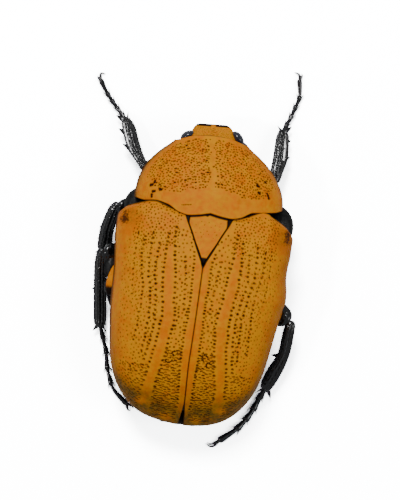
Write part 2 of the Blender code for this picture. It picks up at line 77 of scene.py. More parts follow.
CASE_SINK = 0.07
SEAM_HALF = 0.012
SEAM_AT_TIP = 0.22
SEAM_DRIFT = -0.36
TAIL_OPENS_AT = 12.2
TAIL_OPENING = 0.12
RIB_HEIGHT = 0.06
GROOVE_DEPTH = 0.022
WRINKLE_HEIGHT = 0.012
# Blots on a wing case, as middle and reach in x and y: its dusky, warm and dark shoulder marks
# and the two spots of its tail that stay light.
SHOULDER_DUSK = (7.3, -4.8, 1.2, 0.9)
SHOULDER_GLOW = (7, -4.3, 1.2, 1.4)
SHOULDER_SPOT = {1: (7.86, -4.52, 0.44, 0.72), -1: (7.86, -4.78, 0.44, 0.72)}
TAIL_LIGHTS = ((1.5, 13.9, 0.8, 0.5), (3.9, 12.6, 0.7, 0.4))

# Rows of punctures along a wing case: distance from the seam by place, then gap and radius.
ROW_A = ((-2.2, 1), (-1.2, 0.85), (0.5, 0.82), (3, 0.76), (5.5, 0.83), (7.5, 0.86), (9.5, 0.74),
         (13, 0.62))
ROW_B = ((-1.6, 1.75), (-0.7, 1.62), (1, 1.38), (2.4, 1.32), (3.6, 1.2))
ROW_C = ((-4.3, 2.98), (-2.5, 2.86), (-1.4, 2.7), (0.3, 2.45), (1.3, 2.34), (2.8, 2.22), (3.6, 2),
         (4.7, 1.98), (5.6, 2.1), (6.7, 2.2), (7.8, 2.36), (8.7, 2.5), (10, 2.75), (11.8, 2.95))
ROW_D = ((-3.6, 3.5), (-2.7, 3.6), (-1, 3.64), (0.2, 3.62), (1.7, 3.48), (3.1, 3.32), (4.2, 3.24),
         (5.4, 3.28), (6.5, 3.33), (7.6, 3.5), (9.4, 3.8), (11.2, 3.95))
ROW_E = ((-2.6, 4.3), (-1.2, 4.38), (-0.3, 4.42), (0.8, 4.32), (1.6, 4.15), (3.2, 3.95),
         (4.4, 3.85), (6, 3.92), (7.6, 4.1), (9, 4.35))
ROW_F = ((-3.4, 5), (-1.4, 5.08), (-0.5, 5.1), (0.4, 4.92), (1.3, 4.74), (2.7, 4.53), (4, 4.42),
         (6, 4.45), (8, 4.7))
ROW_G = ((-3, 5.84), (-1.6, 5.86), (-0.4, 5.78), (0.6, 5.55), (2, 5.32), (3.4, 5.33), (5, 5.4),
         (7, 5.45))
ROW_H = ((-3.2, 6.45), (-1.5, 6.5), (0.2, 6.45), (2, 6.3))
ROWS = ((ROW_A, 0.34, 0.105), (ROW_B, 0.44, 0.105), (ROW_C, 0.43, 0.12), (ROW_D, 0.42, 0.12),
        (ROW_E, 0.44, 0.118), (ROW_F, 0.43, 0.118), (ROW_G, 0.44, 0.11), (ROW_H, 0.48, 0.09))
# Fields of pits: number tried, range in x and in y, gap, radius, shade, and the two lines that they
# stay between with a margin from each. The radius NICK makes nicks of three pits.
NICK = 0.082
PIT_FIELDS = (
    (900, (1, 2.9), (-4.2, 3.4), 0.36, 0.095, 0.95, (ROW_A, ROW_C, 0.18, 0.18)),
    (1300, (0.8, 2.9), (3.2, 8), 0.31, 0.105, 1, (ROW_A, ROW_C, 0.12, 0.12)),
    (2600, (0.7, 3), (7.2, 13.9), 0.24, NICK, 1, (ROW_A, ROW_C, 0.05, 0.05)),
    (2600, (2.6, 6.9), (-6.3, -2.4), 0.25, 0.085, 1, None),
    (1300, (3.6, 6.2), (-2.6, 4), 0.35, 0.078, 0.9, None),
    (1200, (3.9, 5.5), (4, 9.8), 0.33, 0.1, 0.95, (ROW_E, ROW_G, 0.05, 0.05)),
    (1600, (5.5, 7.5), (-2.6, 9.5), 0.34, 0.075, 0.8, (ROW_A, CASE_WIDTH, 0, 0.75)),
    (1700, (3.6, 6.4), (9, 13.8), 0.27, NICK, 1, (ROW_D, CASE_WIDTH, 0.1, 0.3)),
)
CURLS = ((1.42, 7.6), (1.95, 8.3))

# Triangular plate between the bases of the wing cases: half width along it.
SCUTELLUM_FRONT = -5.95
SCUTELLUM_TIP = -1.35
SCUTELLUM_WIDTH = ((-5.95, 2.25), (-5.35, 2.05), (-3.9, 1.34), (-2.5, 0.71), (-1.35, 0.15))

# Neck shield, in its own frame: y runs back from its front edge to its rear edge.
SHIELD_TURN = math.radians(2.6)
SHIELD_PLACE = np.array([0, -7.3, 0])
SHIELD_POWER = 2.15
SHIELD_REACH = 7.1
SHIELD_FRONT_REACH = 3
SHIELD_WALL = 0.45
SHIELD_OVERHANG = 0.14
SHIELD_RIGHT_REAR = 0.26
SHIELD_LEAN = 0.06
SHIELD_WIDTH = ((-6.2, 2.9), (-5.3, 3.65), (-4.5, 4.65), (-3.6, 5.6), (-2.6, 6.35), (-1.2, 6.95),
                (-0.1, 7.12), (1.6, 6.95))
SHIELD_TOP = ((-6.2, 6.95), (-4.6, 7.9), (-2.6, 8.85), (-0.6, 9.4), (1.6, 9.65))
SHIELD_EDGE = ((-6.2, 5.75), (-4, 5), (-2, 4.75), (0.6, 5.25), (1.6, 5.4))
SHIELD_FRONT = ((0, -6.15), (1.5, -6.05), (3, -5.5))
SHIELD_REAR = ((0, 1.2), (1.2, 1.45), (2.1, 1.55), (3, 1.35), (4.1, 0.7), (5.3, 0.42), (6.3, 0.5),
               (7.1, 0.3))
BEAD_HEIGHT = 0.045
CREASE_DEPTH = 0.03
# Dark marks by distance from the middle, place and size; thin scratches by their ends; and how far
# back the pits go, by distance from the middle.
SHIELD_SPOTS = {
    1: ((5.8, -0.86, 0.19), (5.62, -0.92, 0.16), (5.45, -1.15, 0.17), (5.42, -1.32, 0.13),
        (4.9, -0.52, 0.18), (4.78, -0.5, 0.13), (5.56, -0.28, 0.17), (5.38, -0.3, 0.14),
        (5.64, 0.05, 0.16), (5.62, 0.24, 0.15)),
    -1: ((4.34, -1.74, 0.19), (4.5, -1.68, 0.15), (5.14, -2.16, 0.16), (4.48, -1.1, 0.16),
         (4.6, -1, 0.14), (5.5, -0.67, 0.17), (5.42, -0.9, 0.16), (5.32, -1.1, 0.13)),
}
SHIELD_SCRATCHES = (((3.56, -4.61), (2.71, -4.76)), ((-0.42, -4.69), (-0.81, -4.59)),
                    ((2.74, 0.77), (1.9, 0.66)))
SHIELD_BARE = ((0, -1.2), (1.5, -0.9), (3.5, -0.4), (5, -0.6), (6, -1.6))

# Body below the shells: rings by place along it, and balls by centre, half sizes and turns.
PROTHORAX_BELLY = ((-4.95, 3.8), (-4.3, 3.45), (-3.4, 3.2), (-2.4, 2.9), (-1.2, 2.8), (-0.15, 3))
NECK_WIDTH = ((-8, 5.3), (-6.75, 5.8), (-6, 6.2), (-5.3, 6.6), (-4.6, 7.45))
NECK_TOP = ((-8, 7.6), (-6.75, 8), (-6, 8.3), (-5.3, 8.55), (-4.6, 8.9))
THORAX_BELLY = ((-8, 3.6), (-7.2, 3.1), (-6.75, 2.7), (-6, 2.3), (-5.3, 2), (-4.6, 1.85),
                (-3.6, 1.75), (-2.4, 1.7), (-1, 1.7), (0.6, 1.75), (2.5, 1.85))
ABDOMEN_BELLY = ((2.6, 1.85), (4.2, 1.7), (6, 1.75), (8, 1.95), (10, 2.35), (11.6, 2.85),
                 (12.9, 3.4))
STERNITES = (2.6, 4.3, 6.1, 7.9, 9.7, 11.4, 12.95)
PYGIDIUM = ((12.9, 3.95, 4.3, 3.45, 2.92), (13.6, 3.2, 4.5, 3.6, 3.05), (14.1, 2.4, 4.6, 3.8, 3.2),
            (14.42, 1.5, 4.5, 3.95, 3.4))
UNDER_INSET = 0.8
FRONT_HIP = ((1.45, -9.4, 2.75), (1.35, 0.85, 0.95), 28, 0)
MIDDLE_HIP = ((1.9, -3.7, 1.95), (1.2, 0.8, 0.7), 0, 0)
HIND_HIP = ((3.3, 1, 2.3), (2.7, 0.95, 0.65), -16, 0)
FRONT_FLANK = {
    1: ((6.75, -6.3, 4.15), (1.5, 1.1, 0.85), 0, 56),
    -1: ((6.9, -5.6, 4.2), (1.64, 2.1, 0.85), 0, 0),
}
REAR_FLANK = {
    1: ((7.89, 1.35, 4.1), (0.64, 1.75, 0.5), 18, -12),
    -1: ((7.7, 1.6, 4.1), (0.95, 2.3, 0.55), 18, -6),
}
HOLLOWS = (((8.4, 0.35, 3.15), (0.62, 1.1, 0.42), 0, 0), ((8, 2.2, 3.65), (0.76, 0.95, 0.55), 0, 0))
PROW = ((0, -6.1, 2.35), (0.85, 1.75, 0.6), 0, 0)

# Head, in its own frame: y runs back from the lip.
HEAD_TURN = math.radians(4)
HEAD_PLACE = np.array([0.53, -14.62, 0])
HEAD_WIDTH = ((0, 1.3), (0.1, 1.52), (0.3, 1.78), (0.6, 1.95), (1.2, 2.15), (2, 2.25))
HEAD_TOP = ((0, 4.2), (0.12, 4.42), (0.4, 4.75), (0.9, 5.4), (1.5, 5.95), (2, 6.15))
HEAD_EDGE = ((0, 4), (0.12, 4.05), (0.4, 4.2), (0.9, 4.5), (1.5, 4.8), (2, 4.9))
HEAD_BOTTOM = ((0, 3.75), (0.12, 3.6), (0.4, 3.45), (0.9, 3.2), (1.5, 3.1), (2, 3.3))
HEAD_POWER = 2.5
EYE = {
    1: ((2.42, 1.3, 4.75), (0.74, 0.45, 0.64), 0, 33),
    -1: ((2.42, 1.22, 4.75), (0.78, 0.46, 0.64), 0, 48),
}
JAW = ((0.75, 0.75, 3.3), (0.55, 0.6, 0.35), 0, 0)
CHIN = ((0, 0.95, 3.22), (0.62, 0.75, 0.22), 0, 0)
PALP_WIDTH = ((0, 0.06), (0.15, 0.14), (0.6, 0.2), (0.92, 0.16), (1, 0.06))
PALP_PATH = ((1.1, 0.9, 3.3), (1.45, 0.45, 2.95), (1.3, 0.05, 2.7))
ANTENNA_PATH = ((1.5, 0.7, 3.3), (1.85, 0.75, 3.15), (2.15, 1, 3.1), (2.35, 1.4, 3.1))
ANTENNA_SHARES = (0, 0.36, 0.46, 0.56, 0.66, 0.76, 0.87, 1)
CLUB_WIDTH = ((0, 0.1), (0.2, 0.22), (0.7, 0.28), (0.93, 0.2), (1, 0.05))
CLUB_HEIGHT = ((0, 0.08), (0.3, 0.085), (0.9, 0.08), (1, 0.03))
CLUB_ROOT = np.array([2.35, 1.2, 3.1])
CLUB_TIP = {
    1: np.array([2.75, 2.85, 3.05]),
    -1: np.array([3.45, 2.15, 3.3]),
}
CLUB_SPREAD = np.array([0.1, 0, 0.2])

# Legs: thigh from hip to knee; shin as middle line and half width; foot as middle line; teeth as
# share of the shin, tip and width; claws as three points each.
LEGS = {
    "front_left": {
        "thigh": ((2.5, -9.35, 2.15), (6.55, -9.8, 2.45)),
        "shin": ((6.35, -9.4, 2.42, 0.4), (6.87, -10.17, 2.25, 0.42), (7.77, -11.48, 1.75, 0.58),
                 (8.35, -12.85, 1.3, 0.62), (8.84, -14.05, 0.98, 0.45)),
        "teeth": ((0.36, (8.85, -11.6, 1.5), 0.42), (0.66, (9.45, -13.05, 1.2), 0.4),
                  (0.94, (9.85, -14.3, 0.85), 0.36), (0.94, (8.72, -14.8, 0.75), 0.16)),
        "foot": ((9.84, -15.05, 0.35), (10.45, -15.7, 0.3), (11.12, -16.5, 0.29),
                 (11.82, -17.55, 0.29)),
        "claws": (((11.9, -17.95, 0.35), (11.78, -18.17, 0.25), (11.38, -18.15, 0.08)),
                  ((12, -17.62, 0.3), (12.1, -17.72, 0.2), (12.15, -17.86, 0.08))),
    },
    "front_right": {
        "thigh": ((-2.5, -9.45, 2.1), (-6.12, -10.42, 2.48)),
        "shin": ((-6.3, -9.9, 2.42, 0.5), (-6.3, -10.98, 2.35, 0.55), (-6.5, -12.4, 1.95, 0.66),
                 (-6.5, -14.1, 1.4, 0.6), (-6.5, -15.15, 1, 0.45)),
        "teeth": ((0.45, (-7.5, -12.6, 1.7), 0.42), (0.74, (-7.4, -14.25, 1.2), 0.4),
                  (0.95, (-7.3, -15.6, 0.85), 0.36), (0.95, (-5.9, -15.55, 0.8), 0.16)),
        "foot": ((-7.13, -16.53, 0.35), (-7.43, -17.52, 0.3), (-7.69, -18.43, 0.29),
                 (-7.68, -19.1, 0.29), (-7.45, -20.35, 0.29)),
        "claws": (((-7.42, -20.7, 0.35), (-7.2, -20.92, 0.22), (-6.88, -20.98, 0.08)),
                  ((-7.6, -20.6, 0.32), (-7.68, -20.78, 0.2), (-7.62, -20.95, 0.08))),
    },
    "middle_left": {
        "thigh": ((3.5, -3.9, 1.4), (8.5, -5.75, 3.4)),
        "shin": ((8.47, -5.85, 3.3, 0.48), (8.78, -4.95, 2.92, 0.57), (9.14, -3.19, 2.1, 0.63),
                 (9.15, -2.11, 1.5, 0.64), (9.25, -1.01, 1, 0.55)),
        "teeth": ((0.45, (9.95, -3.34, 1.9), 0.34), (0.7, (9.98, -2.15, 1.4), 0.34),
                  (0.95, (10, -0.75, 0.9), 0.3), (0.95, (8.6, -0.45, 0.8), 0.14)),
        "foot": ((9.15, 0.5, 0.35), (8.7, 1.9, 0.3), (8.1, 3.2, 0.29), (7.4, 4.3, 0.29)),
    },
    "middle_right": {
        "thigh": ((-3.5, -3.9, 1.4), (-7.8, -6, 3.1)),
        "shin": ((-8.05, -5.95, 3.05, 0.42), (-8.08, -5.1, 2.7, 0.46), (-7.95, -3.8, 2.1, 0.5),
                 (-7.8, -2.7, 1.5, 0.53), (-7.75, -1.6, 1, 0.48)),
        "teeth": ((0.45, (-8.5, -3.9, 1.9), 0.32), (0.7, (-8.6, -2.75, 1.4), 0.32),
                  (0.95, (-8.5, -1.35, 0.9), 0.3), (0.95, (-7.1, -1.15, 0.8), 0.14)),
        "foot": ((-7.55, -0.3, 0.35), (-7.2, 1.1, 0.3), (-6.8, 2.4, 0.29), (-6.35, 3.5, 0.29)),
    },
    "hind_left": {
        "thigh": ((4.3, 0.5, 1.1), (9.25, -1.2, 3.4)),
        "shin": ((9.4, -1.3, 3.3, 0.5), (9.35, 0.05, 2.85, 0.53), (9.07, 2.28, 2.1, 0.56),
                 (8.61, 5.3, 1.2, 0.58), (8.52, 6.26, 0.97, 0.55)),
        "teeth": ((0.5, (9.85, 2.75, 1.9), 0.34), (0.95, (9.15, 6.8, 0.85), 0.32),
                  (0.95, (7.65, 6.95, 0.7), 0.14), (0.95, (8.1, 7.1, 0.7), 0.12)),
        "foot": ((7.85, 7.9, 0.35), (7.5, 8.9, 0.3), (7.28, 10, 0.29), (6.93, 11, 0.29),
                 (6.3, 12.2, 0.29), (4.8, 13.5, 0.29)),
    },
    "hind_right": {
        "thigh": ((-4.1, 1.05, 1.4), (-9.6, 3.1, 3.3)),
        "shin": ((-9.68, 3.1, 3.2, 0.5), (-9.66, 4.3, 3, 0.54), (-9.56, 6.52, 2.15, 0.54),
                 (-8.95, 8.4, 1.45, 0.66), (-8.3, 10.15, 0.98, 0.58)),
        "teeth": ((0.5, (-8.35, 6.68, 1.9), 0.36), (0.95, (-9, 10.95, 0.85), 0.34),
                  (0.95, (-7.4, 10.65, 0.7), 0.15), (0.95, (-7.75, 10.95, 0.7), 0.13)),
        "foot": ((-7.85, 11.4, 0.35), (-7.43, 12.5, 0.3), (-6.79, 13.6, 0.29), (-6.17, 14.43, 0.29),
                 (-4.57, 15.82, 0.29)),
        "claws": (((-4.25, 16.28, 0.38), (-3.85, 16.47, 0.28), (-3.36, 16.22, 0.08)),
                  ((-4.12, 16.1, 0.25), (-3.8, 16.25, 0.15), (-3.5, 16.1, 0.06))),
    },
}
THIGH_WIDTH = ((0, 0.3), (0.05, 0.6), (0.35, 1), (0.75, 1), (0.9, 0.82), (0.97, 0.58), (1, 0.25))
THIGH_HEIGHT = ((0, 0.25), (0.06, 0.42), (0.35, 0.56), (0.75, 0.52), (0.92, 0.42), (0.98, 0.33),
                (1, 0.16))
SHIN_HEIGHT = ((0, 0.16), (0.015, 0.28), (0.05, 0.36), (0.3, 0.42), (0.93, 0.38), (1, 0.28))
# A flat shelf on a front shin: its span across and along it, its level and its two slopes.
SHIN_SHELF = {
    "front_right": (0.3, 0.84, 0.42, 0.95, 0.5, 0.27, 0.4),
    "front_left": (0.52, 0.82, 0.08, 0.55, 0.6, 0, 0),
}
FOOT_JOINT = ((0, 0.12), (0.05, 0.17), (0.5, 0.215), (0.85, 0.28), (0.96, 0.22), (1, 0.12))
FOOT_END = ((0, 0.12), (0.06, 0.16), (0.5, 0.225), (0.9, 0.265), (0.98, 0.2), (1, 0.12))
CLAW_TAPER = ((0, 0.16), (0.25, 0.145), (0.7, 0.085), (1, 0.015))
SPIKE_TAPER = ((0, 1), (0.6, 0.55), (0.93, 0.16), (1, 0.04))
THIGH_SHARE = {"front": 0.8, "middle": 1, "hind": 1.14}
# Rows of pits down a limb, by share of the way round it; the shelf takes the place of one.
THIGH_LANES = (0.1, 0.18, 0.27, 0.36, 0.43)
SHIN_LANES = (0.06, 0.14, 0.22, 0.3, 0.38, 0.45)
SHELF_LANE = 0.14
SHIN_STEPS = 36
FOOT_SHARES = (0, 0.17, 0.345, 0.52, 0.7, 1)
BRISTLE_LIMIT = -10.2

# Unwrap of the skin that bristles grow from: a column for each leg and body part, and the size
# of a bristle's patch on it; then the thickness and bend of each kind.
UNWRAP_COLUMNS = 9
PATCH = 0.003
LEG_BRISTLE = (0.022, 0.12)
UNDER_HAIR = (0.013, 0.15)

# Colours, camera and light
HORN_YELLOW = (0.92, 0.345, 0)
# The deeper orange is the shell's own tone and also painted shade where the shells slope away.
HORN_ORANGE_AND_SHADE = (0.9, 0.22, 0)
HORN_DUSK = (0.5, 0.12, 0)
# The olive is the tail's own colour and also painted shade on steep sides.
HORN_OLIVE_AND_SHADE = (0.11, 0.075, 0.008)
# The dark rim colour also serves as painted shade on steep slopes and as painted shadow behind the
# neck shield.
HORN_RIM_AND_SHADE = (0.012, 0.006, 0.004)
HORN_PIT = (0.045, 0.008, 0)
PIT_BLACK = (0.002, 0.002, 0.002)
# Dark finishes: colour, roughness, specular level, grain by the millimetre, its strength and coat.
DARK_FINISHES = (("black_horn", (0.006, 0.006, 0.006), 0.3, 0.4, 9, 0.35),
                 ("leg_horn", (0.004, 0.004, 0.0045), 0.14, 0.6, 4, 0.4, 1),
                 ("brown_horn", (0.03, 0.015, 0.008), 0.35, 0.4, 9, 0.35),
                 ("dark_bristle", (0.012, 0.008, 0.006), 0.4, 0.3, 4, 0.1))
EYE_DARK = (0.012, 0.014, 0.022)
EYE_PALE = (0.05, 0.055, 0.08)
FLOOR_NEAR = (0.75, 0.76, 0.77)
FLOOR_SHOWN = (20, 20.3, 20.2)
FLOOR_REACH = 3
STUDIO_COLOUR = (0.95, 0.97, 1)
STUDIO_LIGHT = 0.22
LOOK = np.array([0.15, -2.44, 5])
CAMERA_TILT = math.radians(3.6)
CAMERA_ROLL = math.radians(8.1)
CAMERA_AWAY = 250
FRAME_HEIGHT = 48
SENSOR = 36
LIGHTS = (("key", (0.12, -0.28, 0.46), 0.13, 1.42), ("fill", (-0.34, 0.02, 0.42), 0.2, 0.4),
          ("spark", (0.3, 0.12, 0.42), 0.04, 0.3))


# Numbers and surfaces

def eased(stations, place):
    """Values at places, eased through (place, value) stations without overshoot."""
    spots, values = np.array(stations, float).T
    slopes = np.diff(values) / np.diff(spots)
    before, after = np.append(slopes[:1], slopes), np.append(slopes, slopes[-1:])
    alike = before * after > 0
    tangents = np.where(alike, 2 * before * after / np.where(alike, before + after, 1), 0)
    place = np.clip(place, spots[0], spots[-1])
    i = np.clip(np.searchsorted(spots, place, "right") - 1, 0, len(slopes) - 1)
    step = spots[i + 1] - spots[i]
    t = (place - spots[i]) / step
    level = values[i] + (values[i + 1] - values[i]) * t * t * (3 - 2 * t)
    return level + step * t * (1 - t) * (tangents[i] * (1 - t) - tangents[i + 1] * t)


def rounding(value, power):
    """Sine or cosine of a superellipse, whose power 2 is a circle."""
    return np.sign(value) * np.abs(value) ** (2 / power)


def smooth(value, low, high):
    """0 below low, 1 above high and a soft step between; low may be the larger of the two."""
    t = np.clip((value - low) / (high - low), 0, 1)
    return t * t * (3 - 2 * t)


def ridge(value, middle, reach):
    """A bell curve: 1 in the middle, falling off on both sides."""
    return np.exp(-((value - middle) / reach) ** 2)


def blot(x, y, shape):
    """A round bell given as its middle and its reach, in x and y each."""
    middle_x, middle_y, reach_x, reach_y = shape
    return np.exp(-((x - middle_x) / reach_x) ** 2 - ((y - middle_y) / reach_y) ** 2)


def strongest(*shades):
    return np.maximum.reduce(np.broadcast_arrays(*shades))


def unit(vectors):
    return vectors / (np.linalg.norm(vectors, axis=-1, keepdims=True) + 1e-12)


def turned(points, angle, place):
    """Points given in a turned frame, moved to the body's own."""
    c, s = math.cos(angle), math.sin(angle)
    return points @ np.array([[c, s, 0], [-s, c, 0], [0, 0, 1]]) + place


def grid_normals(points):
    """Outward normals of a grid of points whose mean normal looks up."""
    normals = unit(np.cross(np.gradient(points, axis=0), np.gradient(points, axis=1)))
    return normals * (1 if normals[..., 2].mean() > 0 else -1)


def run_along(points, axis=0):
    """Distance along the points from the first to each."""
    steps = np.linalg.norm(np.diff(points, axis=axis), axis=-1)
    return np.insert(np.cumsum(steps, axis=axis), 0, 0, axis=axis)


def edge_runs(points, axis):
    """Distance along the grid from each point to the start and to the end of its row or column."""
    run = run_along(points, axis)
    return run, np.take(run, [-1], axis=axis) - run


def turned_down(run, radius):
    """How far a rim sinks, by the distance from it, to turn down in a quarter circle."""
    return radius - np.sqrt(radius ** 2 - np.clip(radius - run, 0, radius) ** 2)


def rounded_rim(points, radius):
    runs = (np.minimum(*edge_runs(points, axis)) for axis in (0, 1))
    return np.minimum(sum(turned_down(run, radius) for run in runs), radius)


def even_shares(curve, count):
    """Shares from 0 to 1 at which a curve's points lie evenly along its length."""
    shares = np.linspace(0, 1, 2001)
    length = run_along(curve(shares))
    return np.interp(np.linspace(0, length[-1], count), length, shares)


def spread(spots, gaps):
    """The numbers of the spots that are kept when each must lie a gap away from those before it."""
    gaps = np.broadcast_to(gaps, len(spots))
    kept = np.empty((len(spots), 3))
    numbers = []
    for k, spot in enumerate(spots):
        near = kept[:len(numbers)]
        if not len(near) or ((near - spot) ** 2).sum(1).min() >= gaps[k] ** 2:
            kept[len(numbers)] = spot
            numbers.append(k)
    return numbers


def pock(points, pits):
    """How deep and how dark pits of (spot, radius, depth, shade) make each point."""
    tree = KDTree(len(points))
    for k, point in enumerate(points):
        tree.insert(point, k)
    tree.balance()
    sunk, dark = np.zeros((2, len(points)))
    for spot, radius, depth, shade in pits:
        for place, k, apart in tree.find_range(spot, radius * PIT_REACH):
            off = apart / radius
            halo = min(max(3.4 - 3.2 * off, 0.2 * (PIT_REACH - off), 0), 1)
            sunk[k] = max(sunk[k], depth * (1 - off * off))
            dark[k] = max(dark[k], shade * halo)
    return sunk[:, None], dark


def pocked(points, normals, pits):
    sunk, dark = pock(points, pits)
    return points - normals * sunk, dark


# Pieces

def shell_faces(rows, columns):
    """Faces of a closed shell: a fine outer grid, a coarse inner one and a rim of fans between."""
    def grid(rows, columns, start):
        """Faces over points numbered from start, and the closed loop round their edge."""
        n = start + np.arange(rows * columns).reshape(rows, columns)
        quads = np.stack((n[:-1, :-1], n[:-1, 1:], n[1:, 1:], n[1:, :-1]), -1)
        loop = np.concatenate((n[0], n[1:, -1], n[-1, -2::-1], n[-2::-1, 0]))
        return quads.reshape(-1, 4).tolist(), loop.tolist()

    faces, outer = grid(rows, columns, 0)
    quads, inner = grid((rows - 1) // COARSE + 1, (columns - 1) // COARSE + 1, rows * columns)
    faces += [(a, d, c, b) for a, b, c, d in quads]
    half = COARSE // 2
    for k, (near, far) in enumerate(zip(inner, inner[1:])):
        run = outer[k * COARSE:(k + 1) * COARSE + 1]
        faces += [(run[m + 1], run[m], near if m < half else far) for m in range(COARSE)]
        faces.append((run[half], near, far))
    return faces


def in_metres(points):
    return ((np.asarray(points).reshape(-1, 3) - ORIGIN) * MM).tolist()


def in_scene(name, data):
    thing = bpy.data.objects.new(name, data)
    bpy.context.scene.collection.objects.link(thing)
    return thing


def add_piece(name, node, slot, finish, points, faces, **shades):
    """A piece that stands for a CAD node. A shade is a number or one by vertex, 0 past its end."""
    mesh = bpy.data.meshes.new(name)
    mesh.from_pydata(in_metres(points), [], faces)
    bm = bmesh.new()
    bm.from_mesh(mesh)
    bmesh.ops.recalc_face_normals(bm, faces=bm.faces)
    bm.to_mesh(mesh)
    bm.free()
    mesh.shade_smooth()
    for label, values in shades.items():
        values = np.full(len(points), values) if np.isscalar(values) else np.ravel(values)
        values = np.pad(values, (0, len(points) - len(values))).astype(np.float32)
        mesh.attributes.new(label, "FLOAT", "POINT").data.foreach_set("value", values)
    mesh.materials.append(finish)
    thing = in_scene(name, mesh)
    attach(thing, "root")
    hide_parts(node)


# Finishes

def add_node(tree, kind, values, **settings):
    """A new node with its settings, and with a value or a socket to link for each input."""
    node = tree.nodes.new(kind)
    for label, value in settings.items():
        setattr(node, label, value)
    for key, value in values.items():
        if isinstance(value, bpy.types.NodeSocket):
            tree.links.new(value, node.inputs[key])
        else:
            node.inputs[key].default_value = value
    return node


def new_finish(name, roughness, specular, coat=0):
    """A new material with its node tree and the inputs of its shader."""
    finish = bpy.data.materials.new(name)
    finish.use_nodes = True
    shader = finish.node_tree.nodes["Principled BSDF"].inputs
    shader["Roughness"].default_value = roughness
    shader["Specular IOR Level"].default_value = specular
    shader["Coat Weight"].default_value = coat
    shader["Coat Roughness"].default_value = 0.06
    return finish, finish.node_tree, shader


def noise(tree, scale, detail=3, stretch=(1, 1, 1)):
    """Noise on Object coordinates; the scale counts waves to a millimetre."""
    place = add_node(tree, "ShaderNodeTexCoord", {}).outputs["Object"]
    scaled = add_node(tree, "ShaderNodeMapping",
                      {"Vector": place, "Scale": [scale * part / MM for part in stretch]})
    return add_node(tree, "ShaderNodeTexNoise",
                    {"Vector": scaled.outputs[0], "Scale": 1, "Detail": detail}).outputs["Fac"]


def ranged(tree, value, low, high, to_low, to_high):
    return add_node(tree, "ShaderNodeMapRange",
                    {"Value": value, "From Min": low, "From Max": high, "To Min": to_low,
                     "To Max": to_high}).outputs["Result"]


def shade_of(tree, label):
    return add_node(tree, "ShaderNodeAttribute", {}, attribute_name=label).outputs["Fac"]


def combined(tree, operation, first, second, clamp=False):
    return add_node(tree, "ShaderNodeMath", {0: first, 1: second}, operation=operation,
                    use_clamp=clamp).outputs[0]


def blended(tree, share, *colours):
    """A mix of two colours, each a triple or a socket, by a share."""
    first, second = ((*c, 1) if isinstance(c, tuple) else c for c in colours)
    return add_node(tree, "ShaderNodeMix", {0: share, 6: first, 7: second},
                    data_type="RGBA").outputs[2]


def raised(tree, shader, height, strength, distance=0.03):
    node = add_node(tree, "ShaderNodeBump",
                    {"Height": height, "Strength": strength, "Distance": distance * MM})
    tree.links.new(node.outputs["Normal"], shader["Normal"])


def orange_finish():
    """Satin orange horn with brown pits, a dull olive tail, a dark rim and painted shade on steep
    slopes.
    """
    finish, tree, shader = new_finish("orange_horn", 0.5, 0.08)
    mottle = [ranged(tree, noise(tree, *waves), 0.35, 0.65, -0.3, 0.3)
              for waves in ((0.9,), (2.6, 5))]
    warm = combined(tree, "ADD", combined(tree, "ADD", *mottle), shade_of(tree, "warm"), True)
    dusk = ranged(tree, noise(tree, 1.4, 6), 0.5, 0.75, 0, 0.3)
    grain = ranged(tree, noise(tree, 3, 4, (1, 0.5, 1)), 0.35, 0.7, 0.65, 1)
    tail = combined(tree, "MULTIPLY", shade_of(tree, "tail"), grain)
    colour = HORN_YELLOW
    for share, over in ((warm, HORN_ORANGE_AND_SHADE), (dusk, HORN_DUSK), (tail, HORN_OLIVE_AND_SHADE),
                        (shade_of(tree, "rim"), HORN_RIM_AND_SHADE), (shade_of(tree, "pit"), HORN_PIT)):
        colour = blended(tree, share, colour, over)
    tree.links.new(colour, shader["Base Color"])
    raised(tree, shader, combined(tree, "ADD", noise(tree, 7, 4),
                                  noise(tree, 1.2, 3, (0.5, 4, 0.5))), 0.3)
    return finish


def black_finish(name, colour, roughness, specular, grain, strength, coat=0):
    """Glossy black horn with a fine grain, dull inside its pits."""
    finish, tree, shader = new_finish(name, roughness, specular, coat)
    pit = shade_of(tree, "pit")
    tree.links.new(blended(tree, pit, colour, PIT_BLACK), shader["Base Color"])
    dull = ranged(tree, noise(tree, 2.2), 0.35, 0.65, 0.7 * roughness, 2 * roughness)
    dull = combined(tree, "ADD", dull, combined(tree, "MULTIPLY", pit, 0.3))
    tree.links.new(dull, shader["Roughness"])
    raised(tree, shader, noise(tree, grain, 4), strength)
    return finish


def slate_eye_finish():
    """Polished slate with a fine net of cells."""
    finish, tree, shader = new_finish("eye_slate", 0.18, 0.5, 0.6)
    tree.links.new(blended(tree, noise(tree, 1.6), EYE_DARK, EYE_PALE), shader["Base Color"])
    place = add_node(tree, "ShaderNodeTexCoord", {}).outputs["Object"]
    cells = add_node(tree, "ShaderNodeTexVoronoi", {"Vector": place, "Scale": 26 / MM})
    raised(tree, shader, cells.outputs["Distance"], 0.3, 0.01)
    return finish


# Wing cases

def case_width(y, side=1):
    return eased(CASE_WIDTH, y) + (eased(RIGHT_EXTRA, y) if side < 0 else 0)


def case_point(y, angle, wall, side=1):
    """Points at a depth in the wall, at an angle that grows from the crown to the side edge."""
    edge = eased(CASE_EDGE, y)
    up = np.maximum(np.cos(angle), 0)
    x = (case_width(y, side) - wall) * rounding(np.sin(angle), CASE_POWER)
    z = edge + (eased(CASE_TOP, y) - wall - edge) * rounding(up, CASE_POWER)
    swelling = sum(height * blot(x, y, shape) for height, shape in CASE_BUMPS)
    return np.stack(np.broadcast_arrays(x, y, z + swelling * np.sqrt(up)), -1)


def case_angle(y, x, side=1):
    """The angle at which the shell lies x from the middle."""
    return np.arcsin(np.clip((x / case_width(y, side)) ** (CASE_POWER / 2), 0, 1))


